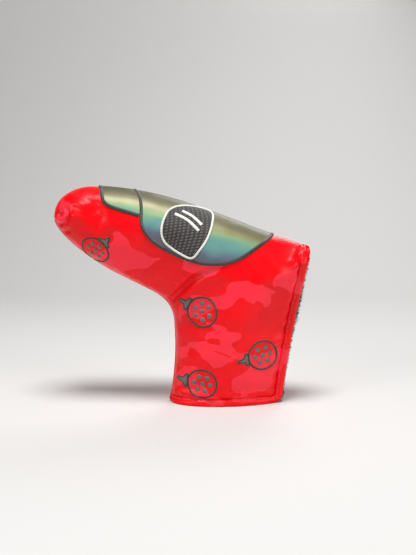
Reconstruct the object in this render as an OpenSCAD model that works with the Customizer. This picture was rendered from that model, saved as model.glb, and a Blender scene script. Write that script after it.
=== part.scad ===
// Head cover for a blade putter: a padded boot with a sloped arm for the blade and a
// leg for the hosel and shaft. It stands on the hem of its foot. X runs from the toe
// tip to the heel corner, Y runs from the near wall to the far wall, and Z is up.

/* [Overall size] */
// Length from the toe tip to the heel corner
cover_l = 160; // [135:1:195]
// Height from the foot hem to the top of the crown
cover_h = 136; // [125:1:165]
// Thickness over both padded walls and their trim at the fullest place
cover_t = 44; // [36:1:54]

/* [Outline] */
// Height of the toe tip below the top of the crown
toe_drop = 18; // [12:1:24]
// Height of the heel corner below the top of the crown
heel_drop = 37.5; // [28:0.5:46]
// Depth of the arm from the crown down to its underside
arm_w = 52; // [42:1:60]
// Width of the leg along the foot
leg_w = 71; // [58:1:86]
// Height of the straight front of the leg below the crotch
leg_front_h = 48; // [36:1:56]
// How far the foot ends short of the heel corner
heel_lean = 16.5; // [8:0.5:24]
// Radius of the hem at the corner of the heel edge and the foot
foot_corner_r = 6; // [4.5:0.5:10]
// Share of the full thickness that is left at the foot
foot_taper = 0.82; // [0.7:0.01:1]

/* [Walls] */
// Thickness of the polyurethane leather
skin_t = 1; // [0.8:0.1:1.4]
// Thickness of the foam interlining
foam_t = 2; // [2:0.1:4]
// Thickness of the plush lining
lining_t = 1.6; // [1:0.1:2.5]
// Glue line left between one layer and the next
layer_gap = 0.05; // [0.02:0.01:0.1]
// Gap between the two linings along the shut opening
edge_gap = 0.4; // [0.3:0.1:1]
// Half gap at the top of the opening, outside the skin
arch_y = 8.4; // [7.5:0.1:12]

/* [Hem] */
// Thickness of the folded hem
hem_t = 0.8; // [0.6:0.1:1.2]
// Width of the hem on the outside
hem_w = 4.6; // [4:0.1:7]
// Distance from one topstitch to the next
stitch_pitch = 3.2; // [2.6:0.1:5]
// Length of one topstitch
stitch_l = 2.1; // [1.5:0.1:2.4]
// Width of the thread
stitch_w = 0.7; // [0.5:0.1:1]

/* [Closure] */
// Where the flap's fold line starts on the foot, from the front of the leg
fold_start = 14; // [12:1:18]
// Where the fold line ends on the heel edge, below the heel corner
fold_drop = 13; // [11:1:20]
// Gap along the fold line
fold_gap = 0.6; // [0.4:0.1:1]
// Diameter of a closure magnet
magnet_d = 9; // [6:0.5:10]
// Thickness of a closure magnet
magnet_t = 1; // [0.8:0.1:1.2]
// Distance from the heel edge to the middle of a magnet
magnet_in = 11; // [9:0.5:12]

/* [Crown panels] */
// Thickness of the glossy panels
panel_t = 0.5; // [0.3:0.1:0.8]
// Width of the satin cord round the panels
cord_w = 2.2; // [1.5:0.1:3]
// Height of the satin cord over the skin
cord_t = 0.8; // [0.7:0.1:1.2]
// Length of the crown panel along the ridge
crown_panel_l = 85; // [60:1:92]
// Length of the nose panel along the ridge
nose_panel_l = 20; // [14:1:22]

/* [Emblems] */
// Diameter of the embroidered ball
ball_d = 19; // [14:0.5:22]
// Width of the satin ring round the ball
ring_w = 2; // [1.2:0.1:2.6]
// Length of the embroidered tee past the ball
tee_l = 6; // [4:0.5:9]
// Height of the embroidery over the skin
thread_t = 0.7; // [0.4:0.1:0.8]

/* [Hidden] */
$fn = 24;

// how deep trim is pressed or sewn into what it lies on
sink = 0.15;
// how far topstitches and sewn borders stand over what they lie on
stitch_h = 0.3;
// room round a magnet in its pocket, on the diameter
magnet_play = 0.6;
// far enough to lie outside the cover
away = 400;

heel_x = cover_l / 2 - 0.35 * hem_t;
ridge_h = cover_h - panel_t;
toe = [-cover_l / 2, ridge_h - toe_drop];
peak = [toe.x + 23.5, ridge_h];
heel = [heel_x, ridge_h - heel_drop];
foot_heel_x = heel_x - heel_lean;
foot_front_x = foot_heel_x - leg_w;
belly_toe = [toe.x + 36.5, ridge_h - arm_w];
belly_heel = belly_toe + [23.5, -11.8];
leg_top = [foot_front_x + 3, leg_front_h];
wall_h = cover_t / 2 - cord_t;
foam_d = skin_t + layer_gap;
lining_d = foam_d + foam_t + layer_gap;
wall_d = lining_d + lining_t;
slit_y = wall_d + edge_gap / 2;

function bezier(a, b, c, d, n) =
    [for (i = [0:n]) let (t = i / n, s = 1 - t)
        a * s * s * s + 3 * b * s * s * t + 3 * c * s * t * t + d * t * t * t];

// a smooth curve through points, n steps between each two of them
function through(p, n, closed = false) = let (
        last = len(p) - 1,
        at = function (i) closed ? p[(i + len(p)) % len(p)]
            : i < 0 ? 2 * p[0] - p[1] : i > last ? 2 * p[last] - p[last - 1] : p[i])
    [for (i = [0:closed ? last : last - 1], k = [0:n - 1])
        let (t = k / n, a = at(i - 1), b = at(i), c = at(i + 1), d = at(i + 2))
        (2 * b + (c - a) * t + (2 * a - 5 * b + 4 * c - d) * t * t
            + (3 * b - a - 3 * c + d) * t * t * t) / 2,
        if (!closed) p[last]];

// distance along a path to each of its points
function run(p) =
    [for (i = 0, s = 0; i < len(p); s = i + 1 < len(p) ? s + norm(p[i + 1] - p[i]) : s,
        i = i + 1) s];

function unit(v) = v / norm(v);

// point and tangent at a share f of a path's length
function on_path(p, f) = let (
        s = run(p),
        want = min(max(f, 0), 1) * s[len(s) - 1],
        i = max([for (k = [0:len(p) - 2]) if (s[k] <= want) k]),
        step = p[i + 1] - p[i])
    [p[i] + unit(step) * (want - s[i]), unit(step)];

// the crown runs from the toe tip over the ridge to the heel corner
crown_path = concat(
    bezier(toe, toe + [0, 10], peak - [12, 0], peak, 8),
    [for (p = bezier(peak, peak + [45, 0], heel + [-42.3, 16.6], heel, 16)) if (p != peak) p]);
// the underside runs from the toe tip to the crotch and down the front of the leg
belly_arm = concat(
    bezier(toe, toe - [0, 9.5], belly_toe + [-15.8, 8.7], belly_toe, 8),
    bezier(belly_heel, belly_heel + [10.7, -5.4], leg_top + [0, 12], leg_top, 8));
leg_front = bezier(leg_top, leg_top + [1.3, -18], [foot_front_x + 2.3, 15],
    [foot_front_x, 0], 8);
// the heel edge runs from the heel corner down to the rounded foot corner
heel_edge = bezier(heel, heel - [4.5, 23.5], [foot_heel_x + 2, 30],
    [foot_heel_x, foot_corner_r], 10);

arm_rows = 11;
leg_rows = 7;
corner_rows = 3;
last_row = arm_rows + leg_rows + corner_rows;
half_columns = 11;

// share of the thickness along one wall: 0 at the underside, 1 at the ridge or rim
function column_v(j) = (1 - cos(180 * j / half_columns)) / 2;

function turn_in(t) = [-t.y, t.x];

// one section across the cover: its ends, the inward normals there, its fullest
// half thickness, its half gap at the rim, its fullest place and its rim roundness
function section(a, b, na, nb, full, gap, fullest, power) =
    [a, b, na, nb, full, gap, fullest, power];

function arm_section(i) = let (
        s = i / arm_rows,
        low = on_path(belly_arm, pow(s, 1.15)),
        high = on_path(crown_path, pow(s, 1.35)),
        reach = norm(high[0] - low[0]) / 2)
    section(low[0], high[0], turn_in(low[1]), -turn_in(high[1]),
        pow(pow(max(reach, 0.1), -4) + pow(wall_h, -4), -1 / 4), 0, 0.5 - 0.06 * s, 0.5);

function leg_section(k) = let (
        t = k / leg_rows,
        low = on_path(leg_front, t * (1 - foot_corner_r / leg_top.y)),
        high = on_path(heel_edge, k == 0 ? 0 : 0.09 + 0.91 * (k - 1) / (leg_rows - 1)),
        below = norm(high[0] - heel),
        arch = pow(max(0, 1 - max(0, below - 8) / 28), 2))
    section(low[0], high[0], turn_in(low[1]), [0, 0],
        wall_h * (1 - (1 - foot_taper) * t * t),
        slit_y + (arch_y - slit_y) * arch, 0.44 - 0.04 * t, min(1, 0.55 + 0.15 * k));

function corner_section(k) = let (
        turn = 90 * k / corner_rows,
        z = foot_corner_r * (1 - sin(turn)),
        low = [foot_front_x + 0.4 * z / foot_corner_r, z])
    section(low, [foot_heel_x - foot_corner_r * (1 - cos(turn)), z], [1, 0], [0, 0],
        wall_h * foot_taper, slit_y, 0.4, 1);

SECTIONS = concat(
    [for (i = [0:arm_rows]) arm_section(i)],
    [for (k = [1:leg_rows]) leg_section(k)],
    [for (k = [1:corner_rows]) corner_section(k)]);

// half thickness of section i at depth d below the skin, at v along the wall
function half_y(i, v, d) = let (
        s = SECTIONS[i],
        full = s[4] - d,
        rim = i > arm_rows ? max(edge_gap / 2, s[5] - d) : 0,
        q = v < s[6] ? (s[6] - v) / s[6] : (v - s[6]) / (1 - s[6]))
    v < s[6] ? full * sqrt(max(0, 1 - q * q))
        : rim + (full - rim) * pow(max(0, 1 - q * q), s[7]);

function wall_point(i, j, d) = let (
        s = SECTIONS[i],
        v = column_v(abs(j - half_columns)),
        a = s[0] + s[2] * d,
        b = s[1] + s[3] * d,
        p = a + (b - a) * v,
        y = half_y(i, v, d))
    [p.x, j < half_columns ? y : -y, p.y];

// the first section that is wide enough to hold a surface at depth d
function first_row(d) =
    [for (i = [1:arm_rows]) let (s = SECTIONS[i])
        if (norm(s[1] - s[0]) > 2 * d + 7 && norm((s[0] + s[1]) / 2 - toe) > d + 1.2) i][0];

function tip_point(d) = let (
        s = SECTIONS[first_row(d)],
        p = toe + unit((s[0] + s[1]) / 2 - toe) * d)
    [p.x, 0, p.y];

// number of a point on one surface: 0 is the tip, and down to the heel corner the two
// ends of a row are one point on the ridge
function point_no(i, j, first) = let (round = 2 * half_columns)
    i < first ? 0
        : i <= arm_rows ? 1 + (i - first) * round + j % round
        : 1 + (arm_rows - first + 1) * round + (i - arm_rows - 1) * (round + 1) + j;

function surface_points(d) = let (first = first_row(d), round = 2 * half_columns)
    concat([tip_point(d)],
        [for (i = [first:last_row], j = [0:i <= arm_rows ? round - 1 : round])
            wall_point(i, j, d)]);

// the two triangles between four points, cut so that both walls mirror each other
function two_triangles(a, b, c, d, mirrored) =
    mirrored ? [[a, b, d], [b, c, d]] : [[a, b, c], [a, c, d]];

function surface_faces(first) = concat(
    [for (j = [0:2 * half_columns - 1]) [0, point_no(first, j + 1, first),
        point_no(first, j, first)]],
    [for (i = [first:last_row - 1], j = [0:2 * half_columns - 1],
        f = two_triangles(point_no(i, j, first), point_no(i, j + 1, first),
            point_no(i + 1, j + 1, first), point_no(i + 1, j, first), j < half_columns)) f]);

function flipped(faces, shift) = [for (f = faces) [f[2] + shift, f[1] + shift, f[0] + shift]];

// one layer of the whole boot, from depth near_d to depth deep_d below the skin
module layer(near_d, deep_d) {
    f0 = first_row(near_d);
    f1 = first_row(deep_d);
    outside = surface_points(near_d);
    shift = len(outside);
    round = 2 * half_columns;
    foot = [for (j = [0:round - 1],
        f = two_triangles(point_no(last_row, j, f0), point_no(last_row, j + 1, f0),
            shift + point_no(last_row, j + 1, f1), shift + point_no(last_row, j, f1),
            j < half_columns)) f];
    rims = [for (i = [arm_rows:last_row - 1], side = [0, 1]) let (
            j = side * round,
            a = point_no(i, j, f0),
            b = point_no(i + 1, j, f0),
            c = shift + point_no(i + 1, j, f1),
            d = shift + point_no(i, j, f1))
        each side == 0 ? [[a, b, c], [a, c, d]] : [[b, a, c], [a, d, c]]];
    polyhedron(concat(outside, surface_points(deep_d)),
        concat(surface_faces(f0), flipped(surface_faces(f1), shift), foot, rims));
}

// an outline in the XZ plane carried straight through the cover
module through_cover() {
    rotate([90, 0, 0]) linear_extrude(away, center = true) children();
}

// everything on one side of the middle plane, clear of it by c
module near_side(c = 0) {
    translate([-away, -away - c, -away]) cube([2 * away, away, 2 * away]);
}
module far_side(c = 0) { translate([-away, c, -away]) cube([2 * away, away, 2 * away]); }

// what a layer leaves inside an outline, as one mesh
module cut_layer(near_d, deep_d) {
    resize([0, 0, 0]) intersection() {
        layer(near_d, deep_d);
        through_cover() children();
    }
}

// the same on one wall only
module cut_wall(near_d, deep_d, side, c = 0) {
    resize([0, 0, 0]) intersection() {
        layer(near_d, deep_d);
        through_cover() children();
        if (side == "near") near_side(c);
        if (side == "far") far_side(c);
    }
}

// the rim, moved in by e: down the heel edge, round the corner and along the foot
function rim_path(e) = concat(
    [[heel.x - e + 1, away]],
    [for (k = [0:20]) let (p = on_path(heel_edge, k / 20)) p[0] - turn_in(p[1]) * e],
    [for (k = [1:6]) let (r = foot_corner_r - e, turn = 15 * k)
        [foot_heel_x - foot_corner_r + r * cos(turn), foot_corner_r - r * sin(turn)]],
    [[-away, e]]);

module inside_rim(e) { polygon(concat(rim_path(e), [[-away, away]])); }

// what lies within w of the rim
module rim_band(w) {
    difference() {
        inside_rim(-foot_corner_r);
        inside_rim(w);
    }
}

// the fold line of the flap, from the foot to the heel edge
fold_foot = [foot_front_x + fold_start, 0];
fold_top = on_path(heel_edge, fold_drop / run(heel_edge)[len(heel_edge) - 1])[0];
fold_run = unit(fold_top - fold_foot);
fold_out = [fold_run.y, -fold_run.x];

// everything on the heel side of the fold line, which is moved out by c
module beyond_fold(c) {
    p = fold_foot + fold_out * c;
    polygon([p - fold_run * away, p + fold_run * away,
        p + fold_run * away + fold_out * away, p - fold_run * away + fold_out * away]);
}

module flap_space(c) {
    intersection() {
        through_cover() beyond_fold(c);
        far_side();
    }
}

// a layer of the boot without its flap
module boot_layer(near_d, deep_d) {
    resize([0, 0, 0]) difference() {
        intersection() {
            layer(near_d, deep_d);
            through_cover() inside_rim(hem_t);
        }
        flap_space(-fold_gap / 2);
        children();
    }
}

module flap_layer(near_d, deep_d) {
    resize([0, 0, 0]) difference() {
        intersection() {
            layer(near_d, deep_d);
            through_cover() inside_rim(hem_t);
            flap_space(fold_gap / 2);
        }
        children();
    }
}

// half thickness of the skin over a point of the XZ plane
function skin_y(p) = let (
        passed = [for (i = [1:last_row]) let (s = SECTIONS[i])
            if (cross(s[1] - s[0], p - s[0]) >= 0) i],
        i = len(passed) > 0 ? max(passed[0], 2) : last_row,
        s0 = SECTIONS[i - 1],
        s1 = SECTIONS[i],
        c0 = cross(s0[1] - s0[0], p - s0[0]) / norm(s0[1] - s0[0]),
        c1 = cross(s1[1] - s1[0], p - s1[0]) / norm(s1[1] - s1[0]),
        t = min(max(c0 / (c0 - c1), 0), 1),
        a = s0[0] * (1 - t) + s1[0] * t,
        b = s0[1] * (1 - t) + s1[1] * t,
        v = min(max((p - a) * (b - a) / ((b - a) * (b - a)), 0), 1))
    half_y(i - 1, v, 0) * (1 - t) + half_y(i, v, 0) * t;

// sets its children on the skin at p, their Z pointing out of the wall
module on_skin(p, side) {
    h = 0.5;
    y = skin_y(p);
    slope = [(skin_y(p + [h, 0]) - skin_y(p - [h, 0])) / (2 * h),
        (skin_y(p + [0, h]) - skin_y(p - [0, h])) / (2 * h)];
    n = unit([-slope.x, side, -slope.y]);
    translate([p.x, side * y, p.y])
        rotate([0, acos(n.z), atan2(n.y, n.x)]) children();
}

module outer_shell() { color("crimson") boot_layer(0, skin_t); }
module flap_shell() { color("crimson") flap_layer(0, skin_t); }

// the magnets lie in a row inside the heel edge, from below the fold line to the foot
function magnet_spot(f) = let (p = on_path(heel_edge, f)) p[0] - turn_in(p[1]) * magnet_in;
magnet_clear = (magnet_d + magnet_play) / 2 + 1;
magnet_low = 0.88;
magnet_high = max(0.5, [for (f = [0.3:0.02:magnet_low])
    if (f + 0.03 > magnet_low || (magnet_spot(f) - fold_foot) * fold_out > magnet_clear) f][0]);
function magnet_place(k) = magnet_spot(magnet_high + (magnet_low - magnet_high) * k / 2);

module each_magnet(side, d, t) {
    // the flat magnet sits high in the curved foam, clear of the lining
    middle = foam_d + 0.35 * foam_t;
    for (k = [0:2]) on_skin(magnet_place(k), side)
        translate([0, 0, -middle]) cylinder(h = t, d = d, center = true);
}

// the pockets are open on both faces of the foam
module magnet_pockets(side) { each_magnet(side, magnet_d + magnet_play, 2 * foam_t); }

module foam_padding() {
    color("gainsboro") boot_layer(foam_d, foam_d + foam_t) magnet_pockets(-1);
}
module flap_foam() {
    color("gainsboro") flap_layer(foam_d, foam_d + foam_t) magnet_pockets(1);
}
module plush_lining() { color("dimgray") boot_layer(lining_d, wall_d); }
module flap_lining() { color("dimgray") flap_layer(lining_d, wall_d); }
module near_magnets() { color("silver") each_magnet(-1, magnet_d, magnet_t); }
module flap_magnets() { color("silver") each_magnet(1, magnet_d, magnet_t); }

// the hem is a band on the skin that turns over the raw edges of all the layers
module hem_wrap() {
    difference() {
        intersection() {
            layer(-hem_t, wall_d);
            through_cover() rim_band(hem_w);
        }
        intersection() {
            layer(sink, wall_d + 1);
            through_cover() inside_rim(hem_t);
        }
    }
}

module near_hem() {
    color("firebrick") resize([0, 0, 0]) intersection() {
        hem_wrap();
        near_side();
    }
}

module far_hem() {
    color("firebrick") resize([0, 0, 0]) difference() {
        hem_wrap();
        near_side();
        flap_space(-fold_gap / 2);
    }
}

module flap_hem() {
    color("firebrick") resize([0, 0, 0]) intersection() {
        hem_wrap();
        flap_space(fold_gap / 2);
    }
}

// one row of topstitches along the inner edge of the hem
stitch_edge = 1.1;
stitch_path = [for (p = rim_path(hem_w - stitch_edge))
    if (p.y < heel.y - 4 && p.x > foot_front_x) p];
stitch_row = concat(stitch_path, [[foot_front_x + 1, hem_w - stitch_edge]]);
stitch_run = run(stitch_row)[len(stitch_row) - 1];

module hem_stitches() {
    for (s = [stitch_pitch / 2:stitch_pitch:stitch_run]) {
        at = on_path(stitch_row, s / stitch_run);
        translate(at[0]) rotate(atan2(at[1].y, at[1].x))
            square([stitch_l, stitch_w], center = true);
    }
}

module near_hem_stitching() {
    color("red") cut_wall(-hem_t - stitch_h, -hem_t + sink, "near") hem_stitches();
}

module far_hem_stitching() {
    color("red") resize([0, 0, 0]) difference() {
        cut_wall(-hem_t - stitch_h, -hem_t + sink, "far") hem_stitches();
        flap_space(-fold_gap / 2);
    }
}

module flap_hem_stitching() {
    color("red") resize([0, 0, 0]) intersection() {
        cut_wall(-hem_t - stitch_h, -hem_t + sink, "far") hem_stitches();
        flap_space(fold_gap / 2);
    }
}

// the closing seam lies along the underside and the front of the leg, above the hem
seam_half_w = 2;
seam_h = 0.5;
module underside_seam() {
    line = [for (s = SECTIONS) if (s[0].y > hem_w + seam_half_w + 0.5 && s[0] != toe) s[0]];
    color("darkred") resize([0, 0, 0]) intersection() {
        layer(-seam_h, sink);
        through_cover() stroke(line, 2 * seam_half_w);
        cube([2 * away, 2 * seam_half_w, 2 * away], center = true);
    }
}

// where the ridge of the crown is over x
function ridge_at(x) = let (
        i = max([for (k = [0:len(crown_path) - 2]) if (crown_path[k].x <= x) k]),
        p = crown_path[i],
        q = crown_path[i + 1])
    p.y + (q.y - p.y) * (x - p.x) / (q.x - p.x);

// the panels hang over the ridge: how far below it their lower borders run
crown_x0 = -31;
crown_x1 = crown_x0 + crown_panel_l;
function under_ridge(x, drop) = [x, ridge_at(x) - drop];
crown_line = let (l = crown_panel_l) through([
    [crown_x0 - 3, cover_h + 20],
    under_ridge(crown_x0, 0),
    under_ridge(crown_x0 + 0.07 * l, 20),
    under_ridge(crown_x0 + 0.2 * l, 34),
    under_ridge(crown_x0 + 0.43 * l, 38),
    under_ridge(crown_x0 + 0.68 * l, 30),
    under_ridge(crown_x0 + 0.88 * l, 15),
    under_ridge(crown_x1, 0),
    [crown_x1 + 6, cover_h]], 3);
nose_x0 = crown_x0 - nose_panel_l;
nose_line = through([
    [nose_x0 - 1, cover_h + 10],
    under_ridge(nose_x0, 0),
    under_ridge(nose_x0 + 0.12 * nose_panel_l, 7),
    under_ridge(nose_x0 + 0.4 * nose_panel_l, 12.5),
    under_ridge(crown_x0 + 0.5, 14.5),
    under_ridge(crown_x0 + 7, 16)], 3);

// a band of width w along a path
module stroke(path, w) {
    last = len(path) - 1;
    side = [for (i = [0:last])
        let (step = unit(path[min(i + 1, last)] - path[max(i - 1, 0)])) turn_in(step) * w / 2];
    polygon(concat([for (i = [0:last]) path[i] + side[i]],
        [for (i = [last:-1:0]) path[i] - side[i]]));
}

// clear air between a panel and the cord along its border
panel_gap = 0.2;
module crown_outline() { polygon(concat(crown_line, [[crown_x1, cover_h + 20]])); }
module nose_outline() {
    difference() {
        polygon(concat(nose_line, [[crown_x0 + 12, cover_h + 10]]));
        crown_outline();
    }
}
module crown_cord_outline() { stroke(crown_line, cord_w); }
module nose_cord_outline() {
    difference() {
        stroke(nose_line, cord_w);
        offset(delta = cord_w / 2 + 0.1) crown_outline();
    }
}

module crown_panel() {
    color("darkseagreen") cut_layer(-panel_t, sink) difference() {
        crown_outline();
        offset(delta = panel_gap) crown_cord_outline();
    }
}
module nose_panel() {
    color("darkseagreen") cut_layer(-panel_t, sink) difference() {
        nose_outline();
        offset(delta = panel_gap) crown_cord_outline();
        offset(delta = panel_gap) nose_cord_outline();
    }
}
module crown_panel_cord() {
    color("darkslategray") cut_layer(-cord_t, sink) crown_cord_outline();
}
module nose_panel_cord() {
    color("darkslategray") cut_layer(-cord_t, sink) nose_cord_outline();
}

// the mesh inset is a rounded shield on each side of the crown panel
inset_border_w = 1.4;
inset_line = let (x = crown_x0, l = crown_panel_l) through([
    under_ridge(x + 0.27 * l, 8),
    under_ridge(x + 0.42 * l, 3.5),
    under_ridge(x + 0.57 * l, 3.5),
    under_ridge(x + 0.57 * l, 13),
    under_ridge(x + 0.52 * l, 23),
    under_ridge(x + 0.43 * l, 34),
    under_ridge(x + 0.3 * l, 29),
    under_ridge(x + 0.21 * l, 20)], 3, closed = true);

module inset_outline() { polygon(inset_line); }
module inset_ring() {
    difference() {
        inset_outline();
        offset(delta = -inset_border_w) inset_outline();
    }
}
stripe_w = 1.5;
module stripe_outline(x, drop, l, fall) {
    a = under_ridge(x, drop);
    stroke([a, a + [l / 2, 0.6 - fall / 2], a + [l, -fall]], stripe_w);
}
module stripe_outlines() {
    stripe_outline(crown_x0 + 0.36 * crown_panel_l, 7.5, 12, 8.2);
    stripe_outline(crown_x0 + 0.31 * crown_panel_l, 10.5, 15, 10.2);
}
mesh_t = panel_t + 0.2;
module mesh_inset(side) {
    color("dimgray") cut_wall(-mesh_t, -panel_t + sink, side)
        offset(delta = -inset_border_w - 0.1) inset_outline();
}
module inset_border(side) {
    color("white") cut_wall(-mesh_t - stitch_h, -panel_t + sink, side) inset_ring();
}
module stripes(side) {
    color("white") cut_wall(-mesh_t - stitch_h, -mesh_t + sink, side) stripe_outlines();
}
module near_mesh_inset() { mesh_inset("near"); }
module far_mesh_inset() { mesh_inset("far"); }
module near_inset_border() { inset_border("near"); }
module far_inset_border() { inset_border("far"); }
module near_stripes() { stripes("near"); }
module far_stripes() { stripes("far"); }

// an embroidered golf ball on its tee, which points to -X, about its middle
module ball_on_tee() {
    ball_x = tee_l / 2;
    dimple_d = ball_d * 0.15;
    translate([ball_x, 0]) {
        difference() {
            circle(d = ball_d, $fn = 20);
            circle(d = ball_d - 2 * ring_w, $fn = 20);
        }
        circle(d = dimple_d, $fn = 8);
        for (turn = [0:60:300]) rotate(turn) translate([ball_d * 0.25, 0])
            circle(d = dimple_d, $fn = 8);
        translate([-ball_d / 2 - 0.3, 0]) polygon([[0, -4], [0, 4], [-1.5, 4], [-tee_l, 1],
            [-tee_l, -1], [-1.5, -4]]);
    }
}

module emblem(at, turn, side, flatten = 1, along = 0) {
    color("gray") cut_wall(-thread_t, sink, side, seam_half_w + 0.5) translate(at)
        rotate(along) scale([1, flatten]) rotate(turn - along) ball_on_tee();
}

module near_toe_emblem() { emblem([toe.x + 28.5, toe.y - 19], 222, "near", 0.72, -38); }
module near_crotch_emblem() { emblem([foot_front_x + 17, leg_front_h + 12.5], -28, "near"); }
module near_heel_emblem() { emblem([foot_heel_x - 16.5, 31.5], 12, "near"); }
module near_foot_emblem() { emblem([foot_front_x + 17, hem_w + 10.5], -8, "near"); }
module far_toe_emblem() { emblem([toe.x + 30, toe.y - 16], 165, "far"); }
module far_crotch_emblem() { emblem([foot_front_x + 17, leg_front_h + 6], 205, "far"); }
module flap_emblem() {
    color("gray") resize([0, 0, 0]) intersection() {
        emblem([foot_heel_x - 16.5, 24], 150, "far");
        flap_space(fold_gap / 2);
    }
}

outer_shell();
flap_shell();
foam_padding();
flap_foam();
plush_lining();
flap_lining();
near_hem();
far_hem();
flap_hem();
near_hem_stitching();
far_hem_stitching();
flap_hem_stitching();
underside_seam();
crown_panel();
nose_panel();
crown_panel_cord();
nose_panel_cord();
near_mesh_inset();
far_mesh_inset();
near_inset_border();
far_inset_border();
near_stripes();
far_stripes();
near_toe_emblem();
near_crotch_emblem();
near_heel_emblem();
near_foot_emblem();
far_toe_emblem();
far_crotch_emblem();
flap_emblem();
near_magnets();
flap_magnets();
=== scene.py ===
import math

import bpy
import numpy as np
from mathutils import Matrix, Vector, kdtree
from mathutils.geometry import delaunay_2d_cdt


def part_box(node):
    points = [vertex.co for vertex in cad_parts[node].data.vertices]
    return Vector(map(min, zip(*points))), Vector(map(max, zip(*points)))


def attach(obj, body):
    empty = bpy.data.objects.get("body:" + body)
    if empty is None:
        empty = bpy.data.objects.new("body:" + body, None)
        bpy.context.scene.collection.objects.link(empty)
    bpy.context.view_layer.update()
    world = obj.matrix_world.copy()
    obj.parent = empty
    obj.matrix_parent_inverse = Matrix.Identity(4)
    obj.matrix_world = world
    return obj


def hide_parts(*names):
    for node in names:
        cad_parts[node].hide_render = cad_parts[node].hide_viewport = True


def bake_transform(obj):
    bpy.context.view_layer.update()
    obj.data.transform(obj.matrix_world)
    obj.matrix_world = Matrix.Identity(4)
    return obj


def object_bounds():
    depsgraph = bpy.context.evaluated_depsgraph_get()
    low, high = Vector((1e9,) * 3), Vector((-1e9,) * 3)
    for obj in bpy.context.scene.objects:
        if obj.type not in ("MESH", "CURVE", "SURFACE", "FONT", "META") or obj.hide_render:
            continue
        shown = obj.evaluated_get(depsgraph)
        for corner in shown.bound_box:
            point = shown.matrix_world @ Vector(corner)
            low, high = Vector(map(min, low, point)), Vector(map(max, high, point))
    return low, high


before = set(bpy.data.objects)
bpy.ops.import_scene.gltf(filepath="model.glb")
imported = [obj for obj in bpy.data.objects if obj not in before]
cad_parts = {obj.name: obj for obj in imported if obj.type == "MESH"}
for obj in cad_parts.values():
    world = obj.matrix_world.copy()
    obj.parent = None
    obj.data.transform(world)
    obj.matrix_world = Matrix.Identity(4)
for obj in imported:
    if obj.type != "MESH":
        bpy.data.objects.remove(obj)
cad_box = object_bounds()


# --- Camera and studio -------------------------------------------------------------
# The cover stands on a pale sweep that curves up behind it. A broad soft box hangs
# overhead and two dimmer ones fill from the sides, as for a product shot.

MM = 0.001
scene = bpy.context.scene
scene.view_settings.view_transform = "Standard"


def linear(colour):
    """An sRGB hex colour as linear RGBA."""
    parts = [int(colour[i : i + 2], 16) / 255 for i in (1, 3, 5)]
    return (*[c / 12.92 if c <= 0.04045 else ((c + 0.055) / 1.055) ** 2.4 for c in parts], 1)


def new_material(name, **shader):
    """A material with one Principled shader: (material, its tree, the shader)."""
    material = bpy.data.materials.new(name)
    material.use_nodes = True
    tree = material.node_tree
    surface = tree.nodes["Principled BSDF"]
    for socket, value in shader.items():
        surface.inputs[socket.replace("_", " ")].default_value = value
    return material, tree, surface


def build(name, points, faces, material, uv=None, normals=None):
    """A smooth object from points in millimetres; rest_mm keeps where each point was cut."""
    points = np.asarray(points, float)
    mesh = bpy.data.meshes.new(name)
    mesh.from_pydata((points * MM).tolist(), [], [list(map(int, f)) for f in faces])
    mesh.polygons.foreach_set("use_smooth", [True] * len(mesh.polygons))
    mesh.attributes.new("rest_mm", "FLOAT_VECTOR", "POINT").data.foreach_set("vector", points.ravel())
    if uv is not None:
        layer = mesh.uv_layers.new(name="cloth_mm")
        corner = np.empty(len(mesh.loops), int)
        mesh.loops.foreach_get("vertex_index", corner)
        layer.data.foreach_set("uv", np.asarray(uv, float)[corner].ravel())
    if normals is not None:
        mesh.normals_split_custom_set_from_vertices(np.asarray(normals).tolist())
    mesh.materials.append(material)
    made = bpy.data.objects.new(name, mesh)
    scene.collection.objects.link(made)
    return made


def light(name, place, aim, size, power):
    """A round soft box, its width in metres and its power in watts."""
    lamp = bpy.data.lights.new(name, "AREA")
    lamp.shape, lamp.size, lamp.energy = "DISK", size, power
    held = bpy.data.objects.new(name, lamp)
    held.location = place
    held.rotation_euler = (Vector(aim) - Vector(place)).to_track_quat("-Z", "Y").to_euler()
    scene.collection.objects.link(held)


aim = Vector((0.0159, 0, 0.0788))
camera_pitch = math.radians(6)
camera_distance = 0.55
camera = bpy.data.objects.new("camera", bpy.data.cameras.new("camera"))
camera.location = aim + camera_distance * Vector((0, -math.cos(camera_pitch), math.sin(camera_pitch)))
camera.rotation_euler = (math.pi / 2 - camera_pitch, 0, 0)
camera.data.sensor_fit = "HORIZONTAL"
camera.data.lens = 75.6
scene.collection.objects.link(camera)
scene.camera = camera

# matt paper: an even pale tone with no highlight
backdrop_paint, tree, surface = new_material("matt_backdrop_paper", Roughness=0.85)
surface.inputs["Base Color"].default_value = linear("#C9C8C6")
sweep_r, sweep_front, sweep_back, sweep_high, sweep_half = 400, 2200, 500, 1600, 2000
arc = [math.radians(a) for a in range(0, 91, 6)]
profile = [(-sweep_front, 0)]
profile += [(sweep_back + sweep_r * math.sin(a), sweep_r * (1 - math.cos(a))) for a in arc]
profile += [(sweep_back + sweep_r, sweep_high)]
points = [(x, y, z) for y, z in profile for x in (-sweep_half, sweep_half)]
faces = [(2 * i, 2 * i + 1, 2 * i + 3, 2 * i + 2) for i in range(len(profile) - 1)]
build("backdrop", points, faces, backdrop_paint)

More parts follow.
